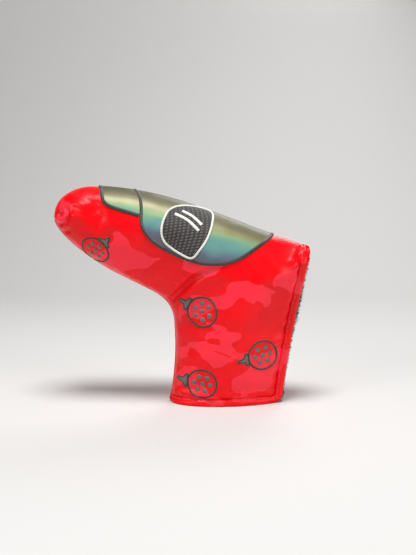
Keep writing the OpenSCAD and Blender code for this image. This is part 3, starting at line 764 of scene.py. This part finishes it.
# bright nickel, its mirror broken by fine scuffs
nickel, tree, surface = new_material("nickel_plating", Metallic=1, Roughness=0.22)
rest = add(tree, "ShaderNodeTexCoord").outputs["Object"]
scuffs = add(tree, "ShaderNodeTexNoise", {"Vector": rest, "Scale": 900, "Detail": 5}).outputs["Fac"]
scuff_stops = [(0.3, "#B8B6B0"), (0.7, "#D6D4CE")]
add(tree, "ShaderNodeValToRGB", {"Fac": scuffs}, scuff_stops, feeds=surface.inputs["Base Color"])
for node in ("near_magnets", "flap_magnets"):
    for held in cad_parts[node].material_slots:
        held.material = nickel


# --- Underside seam ---------------------------------------------------------------------
# The wrap's two edges are sewn face to face along the underside and the front of the
# leg and turned, which leaves a low welt with the leather pulled in at each side.

welt_u = np.concatenate([np.linspace(0.35, 2, 30), np.linspace(2.1, 18.2, 170)])
welt_half = ((0.12, 0.3), (0.5, 0.5), (1.1, 0.12), (1.5, -0.25))
welt_mm = [(-x, y) for x, y in welt_half[::-1]] + list(welt_half)


def along(points, closed=False):
    """Unit directions of a line of points."""
    step = np.roll(points, -1, 0) - np.roll(points, 1, 0) if closed else np.gradient(points, axis=0)
    return step / np.maximum(np.linalg.norm(step, axis=-1, keepdims=True), 1e-9)


def swept(centre, normal, profile, closed=False):
    """A closed section, (across, up) in millimetres, carried along a line on the skin."""
    profile = np.asarray(profile, float)
    run_dir = along(centre, closed)
    across = np.cross(run_dir, normal)
    across /= np.maximum(np.linalg.norm(across, axis=-1, keepdims=True), 1e-9)
    points = centre[:, None] + across[:, None] * profile[:, :1] + normal[:, None] * profile[:, 1:]
    n, m = len(centre), len(profile)
    ids = np.arange(n * m).reshape(n, m)
    ring = np.hstack([ids, ids[:, :1]])
    if closed:
        ring = np.vstack([ring, ring[:1]])
    faces = grid_faces(ring)
    if not closed:
        faces += [list(ids[0]), list(ids[-1][::-1])]
    steps = np.linalg.norm(np.diff(centre, axis=0), axis=1)
    run = np.concatenate([[0], np.cumsum(steps)])
    side_steps = np.linalg.norm(np.diff(profile, axis=0), axis=1)
    girth = np.concatenate([[0], np.cumsum(side_steps)])
    uv = np.stack(np.meshgrid(run, girth, indexing="ij"), -1).reshape(-1, 2)
    return points.reshape(-1, 3), faces, uv


def joined(parts):
    """Several meshes as one."""
    points, faces, uv, count = [], [], [], 0
    for p, f, t in parts:
        points.append(p)
        uv.append(t)
        faces += [[i + count for i in face] for face in f]
        count += len(p)
    return np.vstack(points), faces, np.vstack(uv)


centre = skin_at(welt_u, 1.0, 1)
points, faces, uv = swept(centre, normal_at(welt_u, 1.0, 1), welt_mm)
seam = build("underside_seam_welt", points, faces, red_leather, uv)
fix(seam, "hem_leather", "underside_seam")


# --- Crown and nose panels ---------------------------------------------------------------
# Half a millimetre of foil-coated film leather lies over the ridge like a saddle, with
# a small panel in front of it. Its colour, from olive on top through green to slate, is painted iridescent
# sheen that follows the slope.

panel_t = 0.5
patch_sunk = 0.12
crown_border = [
    (-26.2, 118.6), (-20.8, 105.4), (-9, 96.6), (7.3, 89.9), (20.8, 88.6), (32.6, 90.8), (44.4, 98.6)
]
crown_x = (-31, 54)
nose_border = [(-49.2, 129), (-45.8, 124), (-35, 120.4), (-22.4, 116.6)]
nose_x = -51.6
drift_mm, fine_mm = 14, 0.9

# coated film: a broad satin glow, and a painted iridescent sheen, a colour that turns with the slope
film, tree, surface = new_material("foil_coated_film", Metallic=0.25, Roughness=0.5, IOR=1.5)
surface.inputs["Coat Weight"].default_value = 0.08
surface.inputs["Coat Roughness"].default_value = 0.2
shape = add(tree, "ShaderNodeNewGeometry").outputs["Normal"]
up = add(tree, "ShaderNodeSeparateXYZ", {"Vector": shape}).outputs["Z"]
rest = add(tree, "ShaderNodeAttribute", attribute_name="rest_mm").outputs["Vector"]
drift = add(tree, "ShaderNodeTexNoise", {"Vector": rest, "Scale": 1 / drift_mm, "Detail": 2})
small_turn = {0: drift.outputs["Fac"], 1: 0.16, 2: -0.08}
turned_by = add(tree, "ShaderNodeMath", small_turn, operation="MULTIPLY_ADD").outputs[0]
sheen_by_slope = add(tree, "ShaderNodeMath", {0: up, 1: turned_by}, operation="ADD").outputs[0]
# painted iridescent sheen: slate where it stands upright, through teal and green, to dark olive where it
# faces up
painted_sheen_stops = [
    (0.0, "#5F5D6A"), (0.14, "#5C6A7B"), (0.3, "#60918B"), (0.43, "#74976E"),
    (0.56, "#78754C"), (0.8, "#5C583D"), (0.97, "#48452F"),
]
add(tree, "ShaderNodeValToRGB", {"Fac": sheen_by_slope}, painted_sheen_stops, feeds=surface.inputs["Base Color"])
fine = add(tree, "ShaderNodeTexNoise", {"Vector": rest, "Scale": 1 / fine_mm, "Detail": 3})
orange_peel = {"Strength": 0.08, "Distance": 0.0002, "Height": fine.outputs["Fac"]}
add(tree, "ShaderNodeBump", orange_peel, feeds=surface.inputs["Normal"])


def curve_through(p, n=8, closed=False):
    """A smooth line through points."""
    p = np.asarray(p, float)
    ends = (p[-1:], p[:2]) if closed else (2 * p[:1] - p[1:2], 2 * p[-1:] - p[-2:-1])
    q = np.vstack([ends[0], p, ends[1]])
    t = (np.arange(n) / n)[:, None]
    out = [
        (2 * b + (c - a) * t + (2 * a - 5 * b + 4 * c - d) * t * t + (3 * b - a - 3 * c + d) * t**3) / 2
        for a, b, c, d in zip(q[:-3], q[1:-2], q[2:-1], q[3:])
    ]
    return np.vstack(out + ([] if closed else [p[-1:]]))


def ridge_u(x):
    """u where the ridge of the crown passes over x."""
    share = np.interp(x, crown_path.points[:, 0], crown_path.run / crown_path.length)
    return U_CORNER * share ** (1 / CROWN_POWER)


def signed_chart(xz, side):
    """(u, w) of points over the XZ plane, with w the signed t of their wall."""
    u, t = chart(xz[:, 0], xz[:, 1])
    return np.stack([u, t * side], -1)


def over_ridge(border, x0, x1=None):
    """A panel's border on the near wall in (u, w), from the ridge at x0 and back to it at x1."""
    line = np.vstack([[ridge_u(x0), 0], signed_chart(curve_through(border, 10), -1)])
    if x1 is not None:
        line = np.vstack([line, [ridge_u(x1), 0]])
    return curve_through(line[::4], 6)


# u and w stretched to about a millimetre each, the saddle's own flat plane
FLAT = np.array([14.5, 62.0])


def place_chart(q):
    """u, t and side of points in the saddle's flat plane."""
    u, w = (q / FLAT).T
    return u, np.abs(w), np.where(w < 0, -1, 1)


def place_wall(side):
    """A place function for points of the XZ plane seen on one wall."""

    def place(q):
        u, t = chart(q[:, 0], q[:, 1])
        return u, t, np.full(len(q), side)

    return place


def even(line, pitch, closed=True):
    """A line cut into equal steps of about a pitch."""
    q = np.vstack([line, line[:1]]) if closed else np.asarray(line)
    run = np.concatenate([[0], np.cumsum(np.linalg.norm(np.diff(q, axis=0), axis=1))])
    n = max(6, int(round(run[-1] / pitch)))
    s = np.linspace(0, run[-1], n + 1)
    s = s[:-1] if closed else s
    return np.stack([np.interp(s, run, q[:, k]) for k in (0, 1)], -1)


def patch(outline, place, raised, pitch=1.7, dome=0.0, dome_w=1.0, turn=0.0):
    """A sewn-on piece with thickness, cut to an outline and laid on the skin.

    It rises by dome within dome_w of its edge, and turn is its thread's direction.
    Gives its points, faces, cloth coordinates and shading normals.
    """
    edge = even(outline, pitch * 0.8)
    low_q, high_q = edge.min(0), edge.max(0)
    gx, gy = np.meshgrid(*(np.arange(low_q[k], high_q[k], pitch) for k in (0, 1)))
    gx[1::2] += pitch / 2
    inner = np.stack([gx.ravel(), gy.ravel()], -1)
    loop = np.vstack([edge, edge[:1]])
    inner = inner[distance_along(inner, loop)[0] > pitch * 0.5]
    flat = [Vector(p) for p in np.vstack([edge, inner])]
    q, _, faces = delaunay_2d_cdt(flat, [], [list(range(len(edge)))], 1, 1e-6)[:3]
    q = np.array([tuple(p) for p in q])
    used = np.unique([i for f in faces for i in f])
    number = -np.ones(len(q), int)
    number[used] = np.arange(len(used))
    faces = [[int(number[i]) for i in f] for f in faces]
    q = q[used]
    u, t, side = place(q)
    off = distance_along(q, loop)[0]
    top = skin_at(u, t, side, raised + dome * np.sqrt(np.clip(off / dome_w, 0, 1)))
    facing = normal_at(u, t, side)
    a, b, c = (top[[f[k] for f in faces]] for k in range(3))
    wrong = (np.cross(b - a, c - a) * facing[[f[0] for f in faces]]).sum(1) < 0
    faces = [f[::-1] if w else f for f, w in zip(faces, wrong)]
    # edges that only one face uses are the rim, and a wall goes down from there
    heads = dict.fromkeys((f[k], f[(k + 1) % 3]) for f in faces for k in range(3))
    rim = [(i, j) for i, j in heads if (j, i) not in heads]
    low_i = np.array(sorted({i for e in rim for i in e}))
    foot_no = {i: len(q) + n for n, i in enumerate(low_i)}
    foot = skin_at(u[low_i], t[low_i], side[low_i], -patch_sunk)
    faces += [[j, i, foot_no[i], foot_no[j]] for i, j in rim]
    cos_turn, sin_turn = math.cos(turn), math.sin(turn)
    uv = q @ np.array([[cos_turn, -sin_turn], [sin_turn, cos_turn]])
    both = (np.vstack([grid, grid[low_i]]) for grid in (uv, facing))
    return np.vstack([top, foot]), faces, *both


def eased(line, closed, passes=14):
    """A line cut evenly, its corners rounded off."""
    q = even(line, 1.0, closed)
    for _ in range(passes):
        before, after = np.roll(q, 1, 0), np.roll(q, -1, 0)
        step = 0.25 * (before + after) - 0.5 * q
        if not closed:
            step[[0, -1]] = 0
        q = q + step
    return q


near_line = over_ridge(crown_border, *crown_x)
crown_loop = eased(np.vstack([near_line, (near_line * (1, -1))[-2:0:-1]]) * FLAT, True)
points, faces, uv, facing = patch(crown_loop, place_chart, panel_t)
crown = build("crown_panel_film", points, faces, film, uv, facing)
fix(crown, "glossy_film", "crown_panel")

# the nose panel runs up to the crown panel's front edge and shares that stretch of it
nose_line = over_ridge(nose_border, nose_x)
nose_edge = eased(np.vstack([(nose_line * (1, -1))[:0:-1], nose_line]) * FLAT, False)
ends = [int(np.argmin(np.linalg.norm(crown_loop - p, axis=1))) for p in nose_edge[[-1, 0]]]
front = np.roll(crown_loop, -ends[0], axis=0)
span = (ends[1] - ends[0]) % len(crown_loop)
front = front[: span + 1] if span < len(front) / 2 else front[span:][::-1]
if np.linalg.norm(front[0] - nose_edge[-1]) > 3:
    front = front[::-1]
nose_loop = np.vstack([nose_edge, front])
points, faces, uv, facing = patch(nose_loop, place_chart, panel_t * 0.9)
nose = build("nose_panel_film", points, faces, film, uv, facing)
fix(nose, "glossy_film", "nose_panel")


# --- Satin cords round the panels ----------------------------------------------------------
# Charcoal embroidery thread laid in close satin stitch covers the panels' raw edges with
# a raised, ribbed cord.

cord_w, cord_h = 2.3, 0.95
# threads lie 0.4 mm apart, too fine to show, so the ribs are drawn at 0.9 mm
rib_mm = 0.9
# a wave texture of scale 1 repeats every 20 / 2 pi
WAVE = 2 * math.pi / 20


def satin(name, dark, pale, ribs):
    """Rayon thread in satin stitch: close ribs, their grooves painted dark as shade and their crowns pale as
    a painted highlight.
    """
    material, tree, surface = new_material(name, Roughness=0.42, Sheen_Weight=0.15)
    cloth = add(tree, "ShaderNodeUVMap", uv_map="cloth_mm").outputs["UV"]
    threads = {"Vector": cloth, "Scale": WAVE / ribs, "Distortion": 0.6, "Detail": 1, "Detail Scale": 2}
    rib_relief_and_shade = add(tree, "ShaderNodeTexWave", threads).outputs["Fac"]
    # each rib runs from dark in its groove, painted shade, to pale on its crown, a painted highlight
    stops = [(0.1, dark), (0.8, pale)]
    add(tree, "ShaderNodeValToRGB", {"Fac": rib_relief_and_shade}, stops, feeds=surface.inputs["Base Color"])
    relief = {"Strength": 0.7, "Distance": 0.00022, "Height": rib_relief_and_shade}
    add(tree, "ShaderNodeBump", relief, feeds=surface.inputs["Normal"])
    return material


charcoal_satin = satin("charcoal_satin_stitch", "#1B1817", "#3B3533", rib_mm)
half_round = [(math.cos(a), math.sin(a)) for a in np.linspace(0, math.pi, 9)]


def satin_cord(line, place, w, h, closed=False, pitch=0.9, lift=0.0):
    """A raised cord of satin stitch along a flat line, laid on the skin."""
    line = even(line, pitch, closed)
    u, t, side = place(line)
    profile = [(x * w / 2, y * h + lift) for x, y in half_round] + [(-w / 2, -0.25), (w / 2, -0.25)]
    return swept(skin_at(u, t, side), normal_at(u, t, side), profile, closed)


crown_cord = satin_cord(crown_loop, place_chart, cord_w, cord_h, closed=True)
nose_cord = satin_cord(nose_edge, place_chart, cord_w, cord_h * 0.95)
for panel, (points, faces, uv) in (("crown", crown_cord), ("nose", nose_cord)):
    cord = build(f"{panel}_panel_satin_cord", points, faces, charcoal_satin, uv)
    fix(cord, "charcoal_thread", f"{panel}_panel_cord")


# --- Mesh insets -----------------------------------------------------------------------
# A shield of charcoal spacer mesh is let in on each side of the crown panel, bordered
# in white satin stitch, with two short white bars embroidered on it.

inset_line = curve_through([
    (-7.6, 120.8), (-0.8, 123.2), (9, 122.9), (17.6, 120), (17.7, 113.2), (14.9, 104),
    (10, 96.5), (5.6, 92.2), (-0.6, 94.4), (-8.8, 99.8), (-12, 104.4), (-12.4, 110), (-10.6, 116.4),
], 6, closed=True)
bars = ([(-0.6, 120), (5.6, 117), (11.4, 111.8)], [(-5, 118.2), (2.6, 114.6), (9.6, 108.2)])
mesh_lift, border_w, border_h, bar_w, bar_h = 0.75, 1.35, 0.45, 2.0, 0.4
# how far apart the mesh's rows are, one way and the other
mesh_pitch, tie_pitch = 1.5, 1.95

# spacer mesh: matt threads over small holes, which are painted dark as shade
mesh_cloth, tree, surface = new_material("charcoal_spacer_mesh", Roughness=0.75, Sheen_Weight=0.2)
cloth = add(tree, "ShaderNodeUVMap", uv_map="cloth_mm").outputs["UV"]
rows = []
for pitch, turn in ((mesh_pitch, 1.12), (tie_pitch, 2.55)):
    lean = add(tree, "ShaderNodeMapping", {"Vector": cloth, "Rotation": (0, 0, turn)}).outputs[0]
    wave = {"Vector": lean, "Scale": WAVE / pitch, "Distortion": 0.5}
    rows.append(add(tree, "ShaderNodeTexWave", wave).outputs["Fac"])
woven = add(tree, "ShaderNodeMath", {0: rows[0], 1: rows[1]}, operation="MULTIPLY").outputs[0]
# charcoal threads, with the sunken holes painted darker as shade
mesh_hole_shade_stops = [(0.1, "#232020"), (0.75, "#5A5452")]
add(tree, "ShaderNodeValToRGB", {"Fac": woven}, mesh_hole_shade_stops, feeds=surface.inputs["Base Color"])
holes = {"Strength": 0.8, "Distance": 0.0003, "Height": woven}
add(tree, "ShaderNodeBump", holes, feeds=surface.inputs["Normal"])
white_satin = satin("white_satin_stitch", "#BDBAB2", "#F0EEE6", rib_mm)

for where, side in (("near", -1), ("far", 1)):
    shield = signed_chart(inset_line, side) * FLAT
    points, faces, uv, facing = patch(shield, place_chart, mesh_lift, pitch=1.4)
    inset = build(f"{where}_mesh_panel", points, faces, mesh_cloth, uv, facing)
    fix(inset, "mesh", f"{where}_mesh_inset")
    cord = satin_cord(shield, place_chart, border_w, border_h, closed=True, lift=mesh_lift)
    border = build(f"{where}_white_border", *cord[:2], white_satin, cord[2])
    fix(border, "white_thread", f"{where}_inset_border")
    lines = [signed_chart(curve_through(bar, 8), side) * FLAT for bar in bars]
    sewn = [satin_cord(line, place_chart, bar_w, bar_h, lift=mesh_lift) for line in lines]
    points, faces, uv = joined(sewn)
    white_bars = build(f"{where}_white_bars", points, faces, white_satin, uv)
    fix(white_bars, "white_thread", f"{where}_stripes")


# --- Emblems ------------------------------------------------------------------------------
# Golf balls on tees are embroidered straight on the leather: a thin satin ring, seven
# padded dimples and a tapered tee, in charcoal thread.

ring_d, ring_w, ring_h = 18.0, 1.2, 0.5
dimple_d, dimple_out = 3.1, 4.9
tee_side = [(-9.2, 3.6), (-10.7, 3.6), (-12, 1.3), (-15.6, 0.7)]
tee = np.array([(-9.2, -3.6)] + tee_side + [(x, -z) for x, z in tee_side[:0:-1]])
tee_w, tee_h = 0.9, 0.42
# the dimples' and tee's fill, a paler satin than the rings round them
fill_satin = satin("grey_satin_fill", "#4E4846", "#7A7370", 1.0)
round_angles = np.linspace(0, 2 * np.pi, 49)[:-1]
circle = np.stack([np.cos(round_angles), np.sin(round_angles)], -1)


def turned_by_degrees(q, degrees):
    """Flat points turned anticlockwise."""
    c, s = math.cos(math.radians(degrees)), math.sin(math.radians(degrees))
    return q @ np.array([[c, s], [-s, c]])


def emblem(name, node, at, turn, side, flatten=1.0, lean=0.0):
    """A ball on its tee, at a place and turn, drawn narrower across lean where the wall curves away."""
    place = place_wall(side)

    def lay(q):
        q = turned_by_degrees(q + (3, 0), turn - lean) * (1, flatten)
        return turned_by_degrees(q, lean) + at

    tee_line = curve_through(tee, 3, closed=True)
    rings = [
        satin_cord(lay(circle * ring_d / 2), place, ring_w, ring_h, closed=True),
        satin_cord(lay(tee_line), place, tee_w, tee_h, closed=True, pitch=0.7),
    ]
    spokes = np.arange(6) * math.pi / 3
    centres = [(0, 0)] + [(dimple_out * math.cos(a), dimple_out * math.sin(a)) for a in spokes]
    dot = circle[::3] * dimple_d / 2
    fills = [patch(lay(dot + c), place, 0.12, 0.7, dome=0.4, dome_w=0.9, turn=0.6) for c in centres]
    fills += [patch(lay(tee), place, 0.1, 0.9, dome=0.25, dome_w=0.6, turn=0.6)]
    points, faces, uv = joined(rings + [fill[:3] for fill in fills])
    piece = build(name, points, faces, charcoal_satin, uv)
    piece.data.materials.append(fill_satin)
    for polygon in piece.data.polygons[len(joined(rings)[1]) :]:
        polygon.material_index = 1
    fix(piece, "charcoal_thread", node, folds=node.startswith("flap"))


emblem("near_toe_ball", "near_toe_emblem", (toe[0] + 28.5, toe[1] - 19), 222, -1, 0.72, -38)
emblem("near_crotch_ball", "near_crotch_emblem", (foot_front_x + 17, 60.5), -28, -1)
emblem("near_heel_ball", "near_heel_emblem", (foot_heel_x - 16.5, 31.5), 12, -1)
emblem("near_foot_ball", "near_foot_emblem", (foot_front_x + 17, 15.1), -8, -1)
emblem("far_toe_ball", "far_toe_emblem", (toe[0] + 30, toe[1] - 16), 165, 1)
emblem("far_crotch_ball", "far_crotch_emblem", (foot_front_x + 17, 54), 205, 1)
emblem("far_leg_ball", "flap_emblem", (foot_heel_x - 16.5, 24), 150, 1)


# --- Hem ------------------------------------------------------------------------------------
# The leather turns over the raw edge of foam and plush all round the open heel edge and
# the foot, and is sewn down in one row of red topstitches, with soft puckers between.

hem_leather = camo_leather("turned_hem_leather", ("#E0000C", "#ED000F", "#F62938"))
hem_profile = [
    (4.75, -0.2), (4.6, 0.5), (4.3, 0.8), (3.75, 0.68), (3.5, 0.5), (3.2, 0.68),
    (2.5, 0.98), (1.5, 1.0), (0.7, 0.8), (0.2, 0.3), (0.02, -0.5), (0.0, -1.6),
    (0.1, -2.7), (0.5, -3.4), (1.5, -3.6), (2.4, -3.2), (2.4, -1.0),
]
stitch_edge, stitch_pitch, stitch_l, stitch_r = 3.5, 3.2, 2.2, 0.36
centre_x = foot_heel_x - foot_corner_r


def hem_at(f, e):
    """u and t an inset e in from the rim.

    f runs from 0 to 1 down the heel edge, to 2 round the corner and to 3 along the foot.
    """
    f, e = np.broadcast_arrays(np.asarray(f, float), np.asarray(e, float))
    share = np.clip(f, 0, 1)
    edge = heel_path.at(share) - turned(heel_path.tangent(share)) * e[..., None]
    a, r = np.clip(f - 1, 0, 1) * math.pi / 2, foot_corner_r - e
    corner = np.stack([centre_x + r * np.cos(a), foot_corner_r - r * np.sin(a)], -1)
    p = np.where((f <= 1)[..., None], edge, corner)
    u, t = chart(p[..., 0], p[..., 1])
    u = np.where(f <= 0, ridge_u(np.minimum(p[..., 0], heel[0] - 0.01)), u)
    t = np.where(f <= 0, 0, t)
    foot_u = U_LEG + (U_FOOT - U_LEG) * np.arcsin(np.clip(1 - e / foot_corner_r, 0, 1)) / (math.pi / 2)
    low_end, high_end = section(foot_u)[:2]
    x = foot_front_x + (centre_x - foot_front_x) * np.cos(np.clip(f - 2, 0, 1) * math.pi / 2)
    v = np.clip((x - low_end[..., 0]) / (high_end[..., 0] - low_end[..., 0]), 0, 1)
    foot_t = np.arccos(2 * v - 1) / np.pi
    return np.where(f > 2, foot_u, u), np.where(f > 2, foot_t, t)


hem_stretches = [np.linspace(0, 1, 70), np.linspace(1, 2, 11)[1:], np.linspace(2, 3, 62)[1:]]
hem_lines = np.concatenate(hem_stretches)
# it thins out towards the ridge, so that it lies flush there
thinned = 0.55 + 0.45 * np.clip(hem_lines / 0.12, 0, 1)
hem_in, hem_raise = np.array(hem_profile).T
hem_u, hem_t_chart = hem_at(hem_lines[:, None], hem_in[None])


def hem_ring(side):
    """The turned hem of one wall, with its puckers."""
    n, m = hem_u.shape
    middle = skin_at(hem_u[:, 7], hem_t_chart[:, 7], side)
    run = np.concatenate([[0], np.cumsum(np.linalg.norm(np.diff(middle, axis=0), axis=1))])
    pucker = 0.16 * np.sin(run * 2 * np.pi / stitch_pitch + 1.2) * (1 + 0.6 * np.sin(run / 11))
    lift = hem_raise * thinned[:, None] + np.where(hem_raise > 0.4, pucker[:, None], 0)
    points = skin_at(hem_u, hem_t_chart, side, np.maximum(lift, 0))
    # inside the edge it turns straight towards the other wall, and down at the ridge
    open_rim = np.clip(hem_u - U_CORNER, 0, 1)[..., None]
    inward = open_rim * (0, -side, 0) - (1 - open_rim) * normal_at(hem_u, hem_t_chart, side)
    inward /= np.linalg.norm(inward, axis=-1, keepdims=True)
    points += inward * np.maximum(-lift, 0)[..., None]
    points[..., 1] = side * np.maximum(points[..., 1] * side, 0.12)
    points[..., 2] = np.maximum(points[..., 2], 0.0)
    ids = np.arange(n * m).reshape(n, m)
    faces = grid_faces(np.hstack([ids, ids[:, :1]]), flip=side > 0)
    faces += [list(ids[0][::-side]), list(ids[-1][::side])]
    profile_steps = np.linalg.norm(np.diff(np.array(hem_profile), axis=0), axis=1)
    girth = np.concatenate([[0], np.cumsum(profile_steps)])
    uv = np.stack(np.meshgrid(run, girth, indexing="ij"), -1).reshape(-1, 2)
    return points.reshape(-1, 3), faces, uv


# glossy filament thread, twisted: each ply's crest is painted pale as a slanting glint and its hollow darker
# as shade
stitch_thread, tree, surface = new_material("red_polyester_thread", Roughness=0.38, Sheen_Weight=0.2)
cloth = add(tree, "ShaderNodeUVMap", uv_map="cloth_mm").outputs["UV"]
twist = {"Vector": cloth, "Scale": WAVE / 0.6, "Distortion": 0.3}
ply = add(tree, "ShaderNodeTexWave", twist, bands_direction="DIAGONAL").outputs["Fac"]
# red thread, paler on the plies' crests as a painted glint
ply_glint_stops = [(0.1, "#C4101A"), (0.8, "#F23C46")]
add(tree, "ShaderNodeValToRGB", {"Fac": ply}, ply_glint_stops, feeds=surface.inputs["Base Color"])
strands = {"Strength": 0.6, "Distance": 0.0001, "Height": ply}
add(tree, "ShaderNodeBump", strands, feeds=surface.inputs["Normal"])


def stitches(side):
    """One row of topstitches, each a plump twist of thread with both ends pulled in."""
    line = np.stack(hem_at(hem_lines, stitch_edge), -1)
    points = skin_at(line[:, 0], line[:, 1], side)
    run = np.concatenate([[0], np.cumsum(np.linalg.norm(np.diff(points, axis=0), axis=1))])
    angles = np.linspace(0, 2 * np.pi, 9)[:-1]
    ring = [(stitch_r * math.cos(a), stitch_r * math.sin(a)) for a in angles]
    parts = []
    for start in np.arange(3.5, run[-1] - 4, stitch_pitch):
        s = start + np.linspace(0, stitch_l, 7)
        u, t = np.interp(s, run, line[:, 0]), np.interp(s, run, line[:, 1])
        arch = np.sin(np.linspace(0, np.pi, 7)) ** 0.6
        centre = skin_at(u, t, side, 0.25 + 0.4 * arch)
        parts.append(swept(centre, normal_at(u, t, side), ring))
    return joined(parts)


for where, side in (("near", -1), ("far", 1)):
    places = ("near",) if side < 0 else ("far", "flap")
    points, faces, uv = hem_ring(side)
    hem = build(f"{where}_turned_hem", points, faces, hem_leather, uv)
    points, faces, uv = stitches(side)
    row = build(f"{where}_topstitches", points, faces, stitch_thread, uv)
    fix(hem, "hem_leather", *(f"{place}_hem" for place in places), folds=side > 0)
    fix(row, "red_thread", *(f"{place}_hem_stitching" for place in places), folds=side > 0)


# --- Plush pile at the edges ------------------------------------------------------------------
# Where the lining ends behind the hem, its pile fluffs out into the open heel edge and
# just under the foot. Each tuft is a tapered, slightly bent lock of fibres.

pile = np.random.default_rng(7)
tuft_l, tuft_w, tufts_a_side = 2.5, 0.42, 2600


def pile_edge(side, count):
    """Locks of pile along the inside of one wall's rim."""
    f = np.sort(pile.uniform(0.06, 2.98, count))
    inset, depth = pile.uniform(0.3, 2.4, count), pile.uniform(-4.7, -3.4, count)
    # the pile stands out furthest where the opening gapes below the heel corner
    gape = 1 + 0.8 * np.exp(-(((f - 0.3) / 0.26) ** 2))
    length = (tuft_l * gape * pile.uniform(0.7, 1.05, count))[:, None]
    u, t = hem_at(f, inset)
    root = skin_at(u, t, side)
    root[:, 1] = side * np.maximum(root[:, 1] * side + depth, 0.2)
    way = skin_at(*hem_at(f, 0.0), side) - skin_at(u, t, side)
    way /= np.maximum(np.linalg.norm(way, axis=1, keepdims=True), 1e-6)
    way += pile.normal(0, 0.26, (count, 3)) * (1, 0.5, 1)
    way /= np.linalg.norm(way, axis=1, keepdims=True)
    flat = np.cross(way, (0, 1, 0))
    flat /= np.maximum(np.linalg.norm(flat, axis=1, keepdims=True), 1e-6)
    bend = np.array((0, -0.12 * side, -0.1))
    lock = []
    for share, w in ((0, 1), (0.4, 0.85), (0.75, 0.5)):
        middle = root + way * length * share + bend * share**2 * length
        lock += [middle - flat * tuft_w * w / 2, middle + flat * tuft_w * w / 2, middle + (0, 0.3 * w, 0)]
    points = np.stack(lock + [root + way * length + bend * length], 1)
    one = [[r + j, r + (j + 1) % 3, r + 3 + (j + 1) % 3, r + 3 + j] for r in (0, 3) for j in range(3)]
    one += [[6 + j, 6 + (j + 1) % 3, 9] for j in range(3)] + [[2, 1, 0]]
    faces = [[i + 10 * k for i in face] for k in range(count) for face in one]
    points = points.reshape(-1, 3)
    points[:, 1] = side * np.maximum(points[:, 1] * side, 0.05)
    points[:, 2] = np.maximum(points[:, 2], 0.02)
    return points, faces


for where, side in (("near", -1), ("far", 1)):
    points, faces = pile_edge(side, tufts_a_side)
    fringe = build(f"{where}_plush_pile", points, faces, plush)
    fix(fringe, "plush", folds=side > 0)
